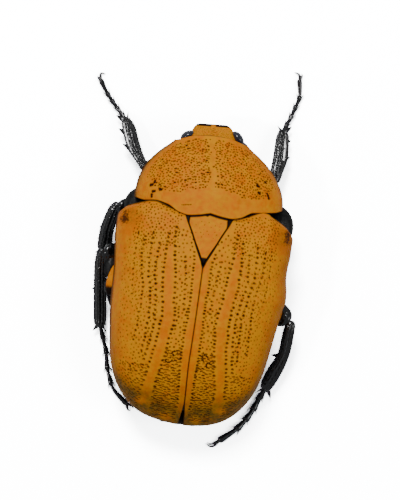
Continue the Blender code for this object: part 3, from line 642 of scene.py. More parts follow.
def seam_side(y):
    """How far from the middle a wing case begins: beside the scutellum, then near its twin."""
    beside = eased(SCUTELLUM_WIDTH, y) + 0.09
    closing = smooth(y, SCUTELLUM_TIP, SCUTELLUM_TIP + 0.7)
    behind = SEAM_AT_TIP + (SEAM_HALF - SEAM_AT_TIP) * closing
    behind = behind + TAIL_OPENING * np.maximum(y - TAIL_OPENS_AT, 0)
    return np.where(y < SCUTELLUM_TIP, beside, behind)


def on_case(x, y, side=1):
    return case_point(y, case_angle(y, x, side), 0, side)


def row_pits(rng, side, line, gap, radius):
    """Pits along a line, a little wider than long and uneven in step, place and size."""
    places = []
    y = line[0][0]
    while y < line[-1][0]:
        places.append(y)
        y += gap * rng.uniform(0.75, 1.25)
    count = len(places)
    spots = on_case(eased(line, places) + rng.normal(0, 0.035, count), np.array(places), side)
    sizes = radius * rng.uniform(0.8, 1.15, count)
    fades = rng.uniform(0.8, 1, count)
    return [(spot + (half, 0, 0), size, 0.5 * size, fade)
            for spot, size, fade in zip(spots, sizes, fades) for half in (-0.03, 0.03)]


def field_pits(rng, side, count, x_range, y_range, gap, radius, shade, lines):
    """Scattered pits over a field of the wing case, or short crosswise nicks of three pits each."""
    x, y = rng.uniform(*x_range, count), rng.uniform(*y_range, count)
    if lines:
        inner, outer, inner_margin, outer_margin = lines
        inside = (x > eased(inner, y) + inner_margin) & (x < eased(outer, y) - outer_margin)
        x, y = x[inside], y[inside]
    spots = on_case(np.minimum(x, eased(CASE_WIDTH, y) * 0.985), y, side)
    pits = []
    for k in spread(spots, gap):
        size = radius * rng.uniform(0.7, 1.15)
        pits.append((spots[k], size, 0.45 * size, shade * rng.uniform(0.6, 1)))
    if radius != NICK:
        return pits
    leans = [rng.uniform(-0.35, 0.35) for pit in pits]
    return [(spot + (0.085 * k, 0.085 * k * lean + 0.02 * abs(k), 0), *rest)
            for (spot, *rest), lean in zip(pits, leans) for k in (-1, 0, 1)]


def case_pits(rng, side):
    pits = []
    for row in ROWS:
        pits += row_pits(rng, side, *row)
    for field in PIT_FIELDS:
        pits += field_pits(rng, side, *field)
    for curl_x, curl_y in CURLS:
        turn = np.arange(7) * 0.62 + rng.uniform(0, 6)
        wide = 0.3 + rng.normal(0, 0.05, 7)
        x, y = curl_x + wide * np.cos(turn), curl_y + 0.8 * wide * np.sin(turn)
        pits += [(spot, 0.1 * rng.uniform(0.8, 1.1), 0.05, 1) for spot in on_case(x, y, side)]
    return pits


def case_relief(x, y):
    """Height of the smooth ribs and of the grooves under the rows of pits."""
    inner, outer, first = eased(ROW_C, y), eased(ROW_D, y), eased(ROW_A, y)
    off = (x - 0.5 * (inner + outer)) / (0.5 * (outer - inner) - 0.06)
    disc = np.maximum(1 - off ** 2, 0) * smooth(y, -4.5, -2.5) * smooth(y, 12.8, 11)
    seam = smooth(x, first - 0.06, first - 0.3) * smooth(y, -2.4, -1)
    height = RIB_HEIGHT * (disc * (0.5 + 0.5 * smooth(y, 1, 4)) + seam)
    for line, *_ in ROWS[2:]:
        start, end = line[0][0], line[-1][0]
        inside = smooth(y, start - 0.5, start + 0.3) * smooth(y, end + 0.5, end)
        height = height - GROOVE_DEPTH * ridge(x, eased(line, y), 0.13) * inside
    return height, disc, seam


def wing_case(name, side, finish, rows=421, columns=211):
    rng = np.random.default_rng(SEED + side)
    quarter = math.pi / 2
    shares = even_shares(lambda q: case_point(np.ones_like(q), q * quarter, 0), columns)
    front_x = case_point(np.full_like(shares, -5.8), shares * quarter, 0)[:, 0]
    front = eased(CASE_FRONT[side], front_x)
    t = np.linspace(0, 1, rows)[:, None]
    y = front + (CASE_REAR - front) * (0.35 * t + 0.65 * np.sin(quarter * t))
    start = case_angle(y, seam_side(y), side)
    angle = start + (quarter - start) * shares
    points = case_point(y, angle, 0, side)
    sunk, pit = pock(points.reshape(-1, 3), case_pits(rng, side))
    normals = grid_normals(points)
    x, up = points[..., 0], normals[..., 2]

    relief, disc, seam = case_relief(x, y)
    wrinkle = np.sin(x * 23 + 3 * np.sin(y * 5.1)) * np.sin(y * 31 + 4 * np.sin(x * 4.3))
    relief = relief + WRINKLE_HEIGHT * wrinkle * smooth(y, 10.5, 13)
    (from_front, from_rear), (from_seam, from_edge) = edge_runs(points, 0), edge_runs(points, 1)
    down = (turned_down(from_front, 0.1) + 0.28 * smooth(from_front, 0.7, 0)
            + turned_down(from_rear, 0.16) + turned_down(from_edge, 0.16)
            + turned_down(from_seam, 0.07))
    points = points + normals * (relief - CASE_SINK - down)[..., None]
    flat = points.reshape(-1, 3) - normals.reshape(-1, 3) * sunk
    inner = case_point(y[::COARSE, ::COARSE], angle[::COARSE, ::COARSE], CASE_WALL, side)
    inner = inner.reshape(-1, 3)
    flat = np.concatenate((flat, inner)) * (side, 1, 1)
    drift = SEAM_DRIFT * smooth(flat[:, 1], 7.5, 14.3)
    flat[:, 0] += drift * np.maximum(1 - np.abs(flat[:, 0]) / 4, 0)

    # Dull olive at the tail and in a ragged shoulder mark, but not in two spots; the olive on the
    # steep sides, stronger on the right case, is painted shade.
    ragged = np.sin(9 * x + 3 * np.sin(7 * y)) * np.sin(8 * y + 2 * np.sin(9 * x))
    tail = 0.85 * smooth(y + 0.3 * x, 11.6, 14.6) + 0.35 * smooth(y, 8, 13)
    tail = tail + 0.6 * smooth(up, 0.75, 0.25) * smooth(y, 3, 11)
    tail = tail + 0.3 * smooth(up, 0.85, 0.4) * (side < 0)
    tail = tail + (0.4 + 0.2 * ragged) * blot(x, y, SHOULDER_DUSK)
    tail = tail * (1 - 0.75 * strongest(*(blot(x, y, shape) for shape in TAIL_LIGHTS)))
    # Deeper orange on the ribs, the seam, the front and a shoulder mark; the part by steepness is
    # painted shade where the shell slopes away.
    warm = 0.05 + 0.7 * disc + 0.6 * seam + 0.35 * smooth(y, -2, -5)
    warm = warm + 0.5 * smooth(up, 0.9, 0.55) + 0.6 * blot(x, y, SHOULDER_GLOW)
    # Dark rims along the edges, front, rear and seam; the part by steepness towards the front is
    # painted shade.
    rim = strongest(smooth(from_edge, 0.14, 0.05), smooth(from_front, 0.1, 0.04),
                    smooth(from_rear, 0.14, 0.05), 0.8 * smooth(from_seam, 0.075, 0.03),
                    0.8 * smooth(up, 0.26, 0.12) * smooth(y, 10, 6))
    shoulder = smooth(blot(x, y, SHOULDER_SPOT[side]) + 0.3 * ragged, 0.25, 0.95)
    add_piece(f"wing_case_{name}", f"elytron_{name}", "amber_shell", finish, flat,
              shell_faces(rows, columns), pit=np.maximum(pit, 0.9 * shoulder.ravel()),
              tail=np.clip(tail, 0, 1), warm=np.clip(warm, 0, 1),
              rim=np.append(0.95 * rim, np.full(len(inner), 0.6)))


# Scutellum

def scutellum(finish, rows=81, columns=81):
    rng = np.random.default_rng(SEED + 5)
    y = np.linspace(SCUTELLUM_FRONT - 0.12, SCUTELLUM_TIP + 0.12, rows)[:, None]
    width = eased(SCUTELLUM_WIDTH, y) + 0.2
    x, y = np.broadcast_arrays(width * np.linspace(-1, 1, columns), y)
    side = np.abs(x) - (width - 0.26 - 0.07 * smooth(y, -3.4, -2.2) - 0.35 * smooth(y, -4.7, -5.7))
    shield_end = (SHIELD_PLACE[1] + SHIELD_OVERHANG + eased(SHIELD_REAR, np.abs(x))
                  + SHIELD_TURN * x)
    # Painted shadow: the neck shield's rear edge lies over the front of the plate, and a band just
    # behind that edge is painted dark.
    shadow_behind_shield = smooth(y - shield_end - 0.1 * ridge(x, 0.15, 0.12), 0.24, 0.14)
    sink = CASE_SINK + 0.03 + 0.14 * smooth(side, 0, 0.12)
    points = np.stack((x, y, on_case(np.abs(x), y)[..., 2] - sink), -1)
    points[..., 2] -= rounded_rim(points, 0.1)
    spot_x, spot_y = rng.uniform(-1.4, 1.4, 90), rng.uniform(-5.2, -3.6, 90)
    spots = on_case(np.abs(spot_x), spot_y) - (0, 0, CASE_SINK + 0.03)
    spots[:, 0] = spot_x
    pits = [(spots[k], rng.uniform(0.04, 0.07), 0.03, 0.55) for k in spread(spots, 0.3)
            if abs(spots[k][0]) < eased(SCUTELLUM_WIDTH, spots[k][1]) - 0.3]
    flat, pit = pocked(points.reshape(-1, 3), grid_normals(points).reshape(-1, 3), pits)
    inner = points[::COARSE, ::COARSE].reshape(-1, 3) * (0.9, 0.98, 1) - (0, 0.06, 0.4)
    black = strongest(smooth(side, -0.02, 0.05), smooth(y, -1.84, -1.7), shadow_behind_shield)
    add_piece("scutellum_plate", "scutellum", "orange_shell", finish,
              np.concatenate((flat, inner)), shell_faces(rows, columns), pit=pit, tail=0,
              warm=0.35 + 0.3 * smooth(y, -5.3, -2), rim=np.append(black, np.ones(len(inner))))


# Neck shield

def shield_point(share, part, wall):
    """Points of the neck shield in its own frame: share from side to side, part front to rear."""
    angle = 0.5 * math.pi * np.abs(share)
    across = rounding(np.sin(angle), SHIELD_POWER)
    front = eased(SHIELD_FRONT, SHIELD_FRONT_REACH * across)
    rear = eased(SHIELD_REAR, SHIELD_REACH * across) + SHIELD_OVERHANG
    rear = rear + SHIELD_RIGHT_REAR * ridge(SHIELD_REACH * across, 5.1, 1) * (share < 0)
    y = front + (rear - front) * part
    edge = eased(SHIELD_EDGE, y)
    x = np.sign(share) * (eased(SHIELD_WIDTH, y) - wall) * across
    up = rounding(np.maximum(np.cos(angle), 0), SHIELD_POWER)
    z = edge + (eased(SHIELD_TOP, y) - wall - edge) * up
    return np.stack(np.broadcast_arrays(x, y, z), -1)


def shield_pits(rng, points):
    """Irregular pits on both halves, leaving the middle line, the sides and the rear smooth."""
    flat = points.reshape(-1, 3)
    x, y = flat[:, 0], flat[:, 1]
    off = np.abs(x)
    inside = (off > 0.12 + 0.3 * np.sin(y * 1.7 + np.sign(x)) ** 2) & (y < eased(SHIELD_BARE, off))
    inside &= (off < eased(SHIELD_WIDTH, y) - 0.6) & (y > eased(SHIELD_FRONT, off) + 0.4)
    numbers = rng.permutation(np.flatnonzero(inside))[:16000]
    gaps = 0.19 + 0.12 * rng.random(len(numbers))
    pits = []
    for k in spread(flat[numbers], gaps):
        spot = flat[numbers[k]]
        size = 0.077 * rng.uniform(0.7, 1.35)
        dark = rng.uniform(0.6, 1)
        pits.append((spot, size, 0.4 * size, dark))
        if rng.random() < 0.3:
            shift = (rng.uniform(0.06, 0.13), rng.normal(0, 0.03), 0)
            pits.append((spot + shift, size, 0.4 * size, dark))
    return pits


def neck_shield(finish, rows=221, columns=381):
    rng = np.random.default_rng(SEED + 9)
    halves = even_shares(lambda q: shield_point(q, 0.75, 0), (columns + 1) // 2)
    share = np.concatenate((-halves[:0:-1], halves))
    part = np.linspace(0, 1, rows)[:, None]
    points = shield_point(share, part, 0)
    normals = grid_normals(points)
    x, y, up = points[..., 0], points[..., 1], normals[..., 2]
    end_rim, side_rim = (np.minimum(*edge_runs(points, axis)) for axis in (0, 1))
    bead = ridge(side_rim, 0.16, 0.09) - 0.8 * ridge(side_rim, 0.38, 0.1)
    crease = ridge(x, 0, 0.3) * smooth(y, -5.6, -4.5) * smooth(y, 0.2, -1)
    relief = BEAD_HEIGHT * bead - CREASE_DEPTH * crease - rounded_rim(points, 0.13)
    points = points + normals * relief[..., None]
    flat = points.reshape(-1, 3)
    pits = shield_pits(rng, points)
    marks = [(side * spot_x, spot_y, size, 0.07, 1) for side, spots in SHIELD_SPOTS.items()
             for spot_x, spot_y, size in spots]
    for start, end in SHIELD_SCRATCHES:
        marks += [(*spot, 0.055, 0.02, 0.7) for spot in np.linspace(start, end, 15)]
    for spot_x, spot_y, *rest in marks:
        nearest = np.argmin((x - spot_x) ** 2 + (y - spot_y) ** 2)
        pits.append((flat[nearest], *rest))
    flat, pit = pocked(flat, normals.reshape(-1, 3), pits)
    wall = SHIELD_WALL - 0.28 * smooth(part[::COARSE], 0.8, 1)
    inner = shield_point(share[::COARSE], part[::COARSE], wall).reshape(-1, 3)
    flat = np.concatenate((flat, inner))
    flat[:, 0] += SHIELD_LEAN * np.maximum(-0.8 - flat[:, 1], 0)
    # Painted shade on the neck shield: deeper orange towards its side edges, dark brown and olive
    # where it slopes steeply; the rest is its own tone and dark edge.
    warm = 0.3 + 0.25 * smooth(np.abs(x), 0.3, 1.6) - 0.15 * ridge(x, 0, 0.6) * smooth(y, 0, -2)
    warm = np.clip(warm + 0.25 * smooth(side_rim, 1.5, 0.3), 0, 1)
    rim = strongest(smooth(np.minimum(end_rim, side_rim), 0.1, 0.04), 0.85 * smooth(up, 0.3, 0.1))
    add_piece("neck_shield", "pronotum", "orange_shell", finish,
              turned(flat, SHIELD_TURN, SHIELD_PLACE), shell_faces(rows, columns), pit=pit,
              tail=0.5 * smooth(up, 0.5, 0.2), warm=warm,
              rim=np.append(0.9 * rim, np.full(len(inner), 0.6)))


# Tubes, balls and other closed forms

def path_through(points, steps):
    """A smooth path through points, as Catmull-Rom spans of a few steps each."""
    points = np.asarray(points, float)
    ends = np.concatenate(([2 * points[0] - points[1]], points, [2 * points[-1] - points[-2]]))
    t = np.linspace(0, 1, steps, endpoint=False)[:, None]
    spans = []
    for i in range(1, len(ends) - 2):
        before, start, end, after = ends[i - 1:i + 3]
        spans.append(0.5 * (2 * start + (end - before) * t
                            + (2 * before - 5 * start + 4 * end - after) * t ** 2
                            + (3 * start - before - 3 * end + after) * t ** 3))
    return np.concatenate(spans + [points[-1:]])


def shares_along(path):
    length = run_along(path)
    return length / length[-1]


def resampled(path, shares):
    """Points at shares of a path's length."""
    along = shares_along(path)
    return np.stack([np.interp(shares, along, path[:, k]) for k in range(3)], -1)


def tube(path, widths, heights, sides=16, relief=None, shelf=None):
    """Oval rings round a path, by stations of half width and height along it."""
    ahead = unit(np.gradient(path, axis=0))
    across = unit(np.cross(ahead, (0, 0, 1)))
    up = np.cross(across, ahead)
    share = shares_along(path)[:, None]
    angle = 2 * math.pi * (np.arange(sides) + 0.5) / sides
    scale = 1 + relief(angle, share) if relief else 1
    u, v = np.cos(angle), np.sin(angle)
    rise = v * scale
    if shelf:
        low, high, start, end, level, slope, lift = shelf
        flat = smooth(u, low - 0.07, low) * smooth(u, high + 0.07, high) * (v > 0)
        flat = flat * smooth(share, start - 0.06, start) * smooth(share, end + 0.04, end)
        rise = rise + (level + slope * (u - high) + lift * (share - start) - rise) * flat
    wide = (eased(widths, share) * u * scale)[..., None]
    high = (eased(heights, share) * rise)[..., None]
    rings = path[:, None] + across[:, None] * wide + up[:, None] * high
    rings[..., 2] = np.maximum(rings[..., 2], 0)
    return rings


def loft(rings):
    """A closed skin over rings, with a fan at each end."""
    rows, sides = rings.shape[:2]
    points = np.concatenate((rings.reshape(-1, 3), rings[[0, -1]].mean(1)))
    around = [(k, (k + 1) % sides) for k in range(sides)]
    faces = [(i + a, i + b, i + sides + b, i + sides + a)
             for i in range(0, (rows - 1) * sides, sides) for a, b in around]
    last = (rows - 1) * sides
    faces += [(b, a, rows * sides) for a, b in around]
    faces += [(last + a, last + b, rows * sides + 1) for a, b in around]
    return points, faces


def joined(parts):
    """Several closed forms as one list of points and one of faces."""
    faces, start = [], 0
    for points, some_faces in parts:
        faces += [tuple(k + start for k in face) for face in some_faces]
        start += len(points)
    return np.concatenate([points for points, some_faces in parts]), faces


def ring_normals(points, faces):
    """Normals of a closed mesh by vertex, from the area of the faces round it."""
    normals = np.zeros_like(points)
    for sides in {len(face) for face in faces}:
        corners = np.array([face for face in faces if len(face) == sides])
        a, b, last = (points[corners[:, k]] for k in (0, 1, -1))
        for k in range(sides):
            np.add.at(normals, corners[:, k], np.cross(b - a, last - a))
    return unit(normals)


def ball(shape, side=1, place=None, sides=28, rows=17):
    """An ellipsoid given by its centre, half sizes and turns in degrees about Y and Z."""
    centre, size, about_y, about_z = shape
    turn = np.array(Matrix.Rotation(math.radians(side * about_z), 3, "Z")
                    @ Matrix.Rotation(math.radians(side * about_y), 3, "Y"))
    slope = np.linspace(0.03, math.pi - 0.03, rows)[:, None]
    angle = 2 * math.pi * np.arange(sides) / sides
    rings = np.stack(np.broadcast_arrays(np.sin(slope) * np.cos(angle),
                                         np.sin(slope) * np.sin(angle), np.cos(slope)), -1)
    middle = np.array(centre) * (side, 1, 1) if place is None else place
    return loft(rings * size @ turn.T + middle)


def bar(path, widths, sides=16, flat=1):
    """A closed tube by stations of half width; flat is its height by its width."""
    return loft(tube(path, widths, [(share, flat * wide) for share, wide in widths], sides))


def spike(root, tip, width, bend=(0, 0, 0), sides=8, steps=5, flat=1):
    """A tapered, slightly bent tooth or spine."""
    path = path_through([root, 0.5 * np.add(root, tip) + bend, tip], steps)
    return bar(path, [(share, part * width) for share, part in SPIKE_TAPER], sides, flat)


def body_rings(y, width, top, edge, bottom, power_top, power_bottom, sides=96):
    """Rounded sections across the body, one for each place in y."""
    angle = 2 * math.pi * np.arange(sides) / sides
    up = np.sin(angle)
    y, width, top, edge, bottom = (v[:, None] for v in (y, width, top, edge, bottom))
    power = np.where(up >= 0, power_top, power_bottom)
    x = width * rounding(np.cos(angle), power)
    z = edge + np.where(up >= 0, top - edge, edge - bottom) * rounding(up, power)
    return np.stack(np.broadcast_arrays(x, y, z), -1)


# Body under the shells

def pitted(parts, rng, count, gap, size, keep=None):
    """Several forms as one, with small pits scattered where they are kept, and the pit shade."""
    points, faces = joined(parts)
    numbers = rng.permutation(len(points))[:count]
    if keep:
        numbers = numbers[keep(*points[numbers].T)]
    pits = [(points[numbers[k]], size * rng.uniform(0.7, 1.2), 0.4 * size, 1)
            for k in spread(points[numbers], gap)]
    points, pit = pocked(points, ring_normals(points, faces), pits)
    return points, faces, pit


def prothorax_under(finish, roots):
    rng = np.random.default_rng(SEED + 11)
    y = np.linspace(-4.97, -0.13, 60)
    rings = body_rings(y, eased(SHIELD_WIDTH, y) - UNDER_INSET, eased(SHIELD_TOP, y) - UNDER_INSET,
                       eased(SHIELD_EDGE, y), eased(PROTHORAX_BELLY, y), SHIELD_POWER, 1.7)
    parts = [loft(turned(rings, SHIELD_TURN, SHIELD_PLACE))]
    parts += [ball(FRONT_HIP, side) for side in (1, -1)]
    points, faces, pit = pitted(parts, rng, 5000, 0.3, 0.09, lambda x, y, z: z < 5.5)
    add_piece("prothorax_underside", "prothorax", "black_shell", finish, points, faces, pit=pit)
    body_hairs(points, faces, rng, 260, lambda x, y, z: (z < 4.6) & (y < -7.2), roots, 6)


def thorax_under(finish, patch_finish, roots):
    rng = np.random.default_rng(SEED + 12)
    y = np.linspace(-8, 2.45, 150)
    neck = y < -4.6
    width = np.where(neck, eased(NECK_WIDTH, y), eased(CASE_WIDTH, y) - UNDER_INSET)
    top = np.where(neck, eased(NECK_TOP, y), eased(CASE_TOP, y) - UNDER_INSET)
    edge = np.where(neck, 5.2, eased(CASE_EDGE, y))
    rings = body_rings(y, width, top, edge, eased(THORAX_BELLY, y), CASE_POWER, 1.6)
    groove = ridge(rings[..., 0], 0, 0.12) * smooth(y, -4, -3)[:, None]
    seam = (ridge(y, -2.55, 0.07) + ridge(y, 0.05, 0.07))[:, None]
    rings[..., 2] += 0.07 * smooth(rings[..., 2], 3.5, 2) * np.maximum(groove, seam)
    parts = [loft(rings), ball(PROW)]
    for side in (1, -1):
        parts += [ball(shape, side) for shape in (MIDDLE_HIP, HIND_HIP, FRONT_FLANK[side])]
    parts += [ball(shape) for shape in HOLLOWS]
    points, faces, pit = pitted(parts, rng, 8000, 0.34, 0.09,
                                lambda x, y, z: (z < 5.5) & (np.abs(x) > 2.2))
    add_piece("thorax_underside", "pterothorax", "black_shell", finish, points, faces, pit=pit)
    body_hairs(points, faces, rng, 700,
               lambda x, y, z: (z < 4.4) & (np.abs(x) > 1.5) & (y > -6.6), roots, 7)
    for name, side in LEFT_RIGHT:
        points, faces = ball(REAR_FLANK[side], side, sides=40, rows=25)
        black = np.maximum(smooth(points[:, 1], 2.05, 2.35) * (side > 0),
                           smooth(points[:, 2], 3.85, 3.65))
        add_piece(f"side_patch_{name}", "pterothorax", "orange_shell", patch_finish, points,
                  faces, pit=0, tail=0, warm=0.6, rim=black)


def abdomen_under(finish, tail_finish, roots):
    rng = np.random.default_rng(SEED + 13)
    y = np.linspace(STERNITES[0], STERNITES[-1], 150)
    rings = body_rings(y, eased(CASE_WIDTH, y) - UNDER_INSET, eased(CASE_TOP, y) - UNDER_INSET,
                       eased(CASE_EDGE, y), eased(ABDOMEN_BELLY, y), CASE_POWER, 1.8)
    part = np.interp(y, STERNITES, range(len(STERNITES))) % 1
    part[-1] = 1
    into = 0.1 * np.sqrt(1 - part) * smooth(part, 0, 0.06)
    out = unit((rings - (0, 0, 4.6)) * (1, 0, 1))
    rings = rings - out * (into[:, None] * smooth(rings[..., 2], 5.2, 4.4))[..., None]
    points, faces, pit = pitted([loft(rings)], rng, 7000, 0.3, 0.08,
                                lambda x, y, z: (z < 4.6) & (np.abs(x) > 1.5))
    add_piece("abdomen_underside", "abdomen", "black_shell", finish, points, faces, pit=pit)
    body_hairs(points, faces, rng, 420, lambda x, y, z: (z < 3.9) & (np.abs(x) > 2.5), roots, 8)
    stations = np.array(PYGIDIUM)
    y = np.linspace(stations[0, 0], stations[-1, 0], 24)
    level = [eased(stations[:, (0, k)], y) for k in (1, 2, 3, 4)]
    points, faces, pit = pitted([loft(body_rings(y, *level, 2, 2))], rng, 900, 0.25, 0.07)
    add_piece("tail_plate", "pygidium", "brown_shell", tail_finish, points, faces, pit=pit)


# Head

def in_head(points, side=1):
    return turned(np.asarray(points, float) * (side, 1, 1), HEAD_TURN, HEAD_PLACE)


def head(finish, mouth_finish):
    rng = np.random.default_rng(SEED + 21)
    y = np.concatenate((np.linspace(0, 0.4, 22), np.linspace(0.43, 1.98, 50)))
    width, top, edge, bottom = (eased(line, y) for line in (HEAD_WIDTH, HEAD_TOP, HEAD_EDGE,
                                                            HEAD_BOTTOM))
    rings = body_rings(y, width, top, edge, bottom, HEAD_POWER, HEAD_POWER, 120)
    x = rings[..., 0]
    high = smooth(rings[..., 2] - edge[:, None], 0, 0.15)
    side_rim = ridge(width[:, None] - np.abs(x), 0.14, 0.07) * smooth(y, 1.3, 0.9)[:, None]
    rings[..., 2] += 0.05 * high * np.maximum(ridge(y, 0.2, 0.08)[:, None], side_rim)
    points, faces = loft(turned(rings, HEAD_TURN, HEAD_PLACE))
    x, high, y = np.append(x, [0, 0]), np.append(high, [0, 0]), np.append(np.repeat(y, 120), [0, 2])
    numbers = rng.permutation(np.flatnonzero((high > 0.6) & (y > 0.35)))[:2500]
    pits = [(points[numbers[k]], 0.06 * rng.uniform(0.8, 1.3), 0.03, 0.45)
            for k in spread(points[numbers], 0.19)]
    points, pit = pocked(points, ring_normals(points, faces), pits)
    lip = smooth(y, 0.3, 0.22) * smooth(np.abs(x), 0.15, 0.28)
    add_piece("head_shell", "head", "orange_shell", finish, points, faces, pit=pit, tail=0,
              warm=0.3, rim=strongest(1 - high, smooth(y, 0.12, 0.06), lip))
    parts = []
    for side in (1, -1):
        parts.append(ball(JAW, side, in_head(JAW[0], side)))
        path = path_through(in_head(PALP_PATH, side), 12)
        for ends in ((0, 0.34), (0.36, 0.66), (0.68, 1)):
            parts.append(bar(resampled(path, np.linspace(*ends, 10)), PALP_WIDTH))
    parts.append(ball(CHIN, 1, in_head(CHIN[0])))
    add_piece("mouth_parts", "head", "black_shell", mouth_finish, *joined(parts), pit=0)


def eye_and_antenna(name, side, eye_finish, finish):
    add_piece(f"eye_ball_{name}", f"eye_{name}", "eye", eye_finish,
              *ball(EYE[side], side, in_head(EYE[side][0], side), 40, 25))
    path = path_through(in_head(ANTENNA_PATH, side), 16)
    parts = []
    for k, (start, end) in enumerate(zip(ANTENNA_SHARES, ANTENNA_SHARES[1:])):
        part = resampled(path, np.linspace(start, min(end + 0.01, 1), 9))
        wide = 0.15 + 0.01 * k if k else 0.2
        swell = ((0, 0.07), (0.2, 0.75 * wide), (0.75, wide), (0.95, 0.7 * wide), (1, 0.07))
        parts.append(bar(part, swell))
    for k in (-1, 0, 1):
        line = in_head([CLUB_ROOT + 0.2 * k * CLUB_SPREAD, CLUB_TIP[side] + k * CLUB_SPREAD], side)
        line = resampled(line, np.linspace(0, 1, 14))
        parts.append(loft(tube(line, CLUB_WIDTH, CLUB_HEIGHT, 20)))
    add_piece(f"feeler_{name}", f"antenna_{name}", "brown_shell", finish, *joined(parts), pit=0)


# Legs

def shin_keels(angle, share):
    """Five lengthwise keels that fade towards the knee and the ankle."""
    keel = 0.13 * np.cos(5 * angle + 0.5) + 0.05 * np.cos(13 * angle)
    return keel * smooth(share, 0.03, 0.2) * smooth(share, 1, 0.9)


def thigh_edges(angle, share):
    return 0.05 * np.cos(4 * angle) * smooth(share, 0, 0.2) * smooth(share, 1, 0.85)


def limb(rng, rings, lanes, gap, size):
    """A limb segment with long pits in rows down it, and the shade of its pits."""
    rows, sides = rings.shape[:2]
    pits = []
    gap = gap / run_along(rings.mean(1))[-1]
    for lane in lanes:
        places = np.arange(0.1, 0.94, gap)
        for share in places + rng.uniform(-0.25, 0.25, len(places)) * gap:
            i = int(np.clip(share, 0.05, 0.95) * (rows - 1))
            k = int(lane * sides + rng.integers(-1, 2)) % sides
            wide = size * rng.uniform(0.8, 1.2)
            pits += [(rings[j, k], wide, 0.7 * wide, 1) for j in (i, min(i + 1, rows - 1))]
    points, faces = loft(rings)
    points, pit = pocked(points, ring_normals(points, faces), pits)
    return points, faces, pit


def leg(name, plan, order, finish, roots):
    """Thigh, shin and foot, each a piece; places for bristles are added to roots."""
    rng = np.random.default_rng(SEED + 31 + order)
    path = resampled(np.array(plan["thigh"]), np.linspace(0, 1, 80))
    slim = THIGH_SHARE[name.split("_")[0]]
    rings = tube(path, [(s, slim * w) for s, w in THIGH_WIDTH], THIGH_HEIGHT, 60, thigh_edges)
    points, faces, pit = limb(rng, rings, THIGH_LANES, 0.3, 0.07)
    add_piece(f"thigh_{name}", f"femur_{name}", "black_shell", finish, points, faces, pit=pit)

    shin = np.array(plan["shin"])
    path = path_through(shin[:, :3], SHIN_STEPS)
    places = shares_along(path)[SHIN_STEPS:-1:SHIN_STEPS]
    first, last = shin[0, 3], shin[-1, 3]
    widths = [(0, 0.45 * first), (0.015, 0.78 * first), (0.05, first),
              *zip(places, shin[1:-1, 3]), (0.965, last), (1, 0.72 * last)]
    shelf = SHIN_SHELF.get(name)
    rings = tube(path, widths, SHIN_HEIGHT, 72, shin_keels, shelf)
    lanes = [lane for lane in SHIN_LANES if not shelf or lane != SHELF_LANE]
    points, faces, pit = limb(rng, rings, lanes, 0.22, 0.065)
    parts = [(points, faces)]
    for share, tip, width in plan["teeth"]:
        parts.append(spike(resampled(path, share), tip, width, (0, 0, 0.05), 16, 9, 0.55))
    line = unit(path[-1] - path[0])
    for share in np.linspace(0.12, 0.92, 18):
        root = resampled(path, share)
        nearest = rings[int(share * (len(rings) - 1))]
        for k in (34, 35, 37, 71, 1, 2):
            out = unit(nearest[k] - root)
            roots.append((nearest[k] - 0.05 * out, out + 0.9 * line, rng.uniform(0.18, 0.34),
                          (order + k / 72, 0.5 * share)))
    for root in rings[-4, ::6]:
        out = unit(root - path[-4])
        parts.append(spike(root - 0.04 * out, root + 0.2 * line + 0.06 * out, 0.04, sides=6,
                           steps=3))
    points, faces = joined(parts)
    points[:, 2] = np.maximum(points[:, 2], 0.02)
    add_piece(f"shin_{name}", f"tibia_{name}", "black_shell", finish, points, faces, pit=pit)
    foot(name, plan, path, order, finish, roots, rng)


def claw_paths(plan, end, line, across):
    """Points of the two claws after the foot's end, given by the plan or else spread evenly."""
    if "claws" in plan:
        return plan["claws"]
    lift = np.array([0, 0, 0.05])
    return [(end + 0.3 * line + 0.22 * side * across + lift,
             end + 0.52 * line + 0.26 * side * across - lift,
             np.append((end + 0.72 * line + 0.16 * side * across)[:2], 0.07)) for side in (1, -1)]


def foot(name, plan, shin_path, order, finish, roots, rng):
    """Five joints that widen to their far ends, with spines and bristles, and two hooked claws."""
    ankle = shin_path[-1] - 0.12 * unit(shin_path[-1] - shin_path[-2])
    path = path_through([ankle, *plan["foot"]], 24)
    hind = name.startswith("hind")
    broad = 1.35 if name == "hind_right" else 1
    splay = 0.25 if hind else 0.17
    up = np.array([0, 0, 1])
    parts = []
    for k, (start, end) in enumerate(zip(FOOT_SHARES, FOOT_SHARES[1:])):
        part = resampled(path, np.linspace(start, min(end + 0.015, 1), 24))
        last = k == len(FOOT_SHARES) - 2
        swell = [(s, broad * w) for s, w in (FOOT_END if last else FOOT_JOINT)]
        parts.append(bar(part, swell, 24, 0.9))
        line = unit(part[-1] - part[-4])
        across = np.cross(line, up)
        if last:
            break
        for side in (1, -1):
            for lift in (0.06, -0.05):
                root = part[-4] + 0.17 * side * across + lift * up
                reach = (0.3 + 0.1 * rng.random()) * line + splay * side * across
                parts.append(spike(root, root + broad * reach + 0.5 * lift * up, 0.06 * broad,
                                   0.05 * side * across, 7, 4))
        for j in range(11):
            turn = 2 * math.pi * (j + 0.5) / 11
            out = across * math.cos(turn) + up * math.sin(turn)
            root = part[-3] + out * 0.17
            if root[2] + 0.3 * out[2] > 0.05:
                roots.append((root, 1.6 * line + out, rng.uniform(0.3, 0.5),
                              (order + j / 11, 0.58 + 0.09 * k)))
        inward = across * (1 if across[0] * path[0, 0] < 0 else -1)
        for j in range(7 if hind else 0):
            aim = 1.5 * line + (0.45 + 0.3 * rng.random()) * inward + 0.2 * up
            roots.append((part[6 + 2 * j] + 0.14 * inward, aim, rng.uniform(0.9, 1.5),
                          (order + j / 11, 0.54 + 0.09 * k)))
    for points in claw_paths(plan, path[-1], line, across):
        claw = path_through([path[-1] - 0.12 * line, *points], 9)
        parts.append(bar(claw, CLAW_TAPER, 12))
    points, faces = joined(parts)
    points[:, 2] = np.maximum(points[:, 2], 0)
    add_piece(f"foot_{name}", f"tarsus_{name}", "black_shell", finish, points, faces, pit=0)


# Bristles: each has a root, an aim, a length and the place of its root on the skin's unwrap.

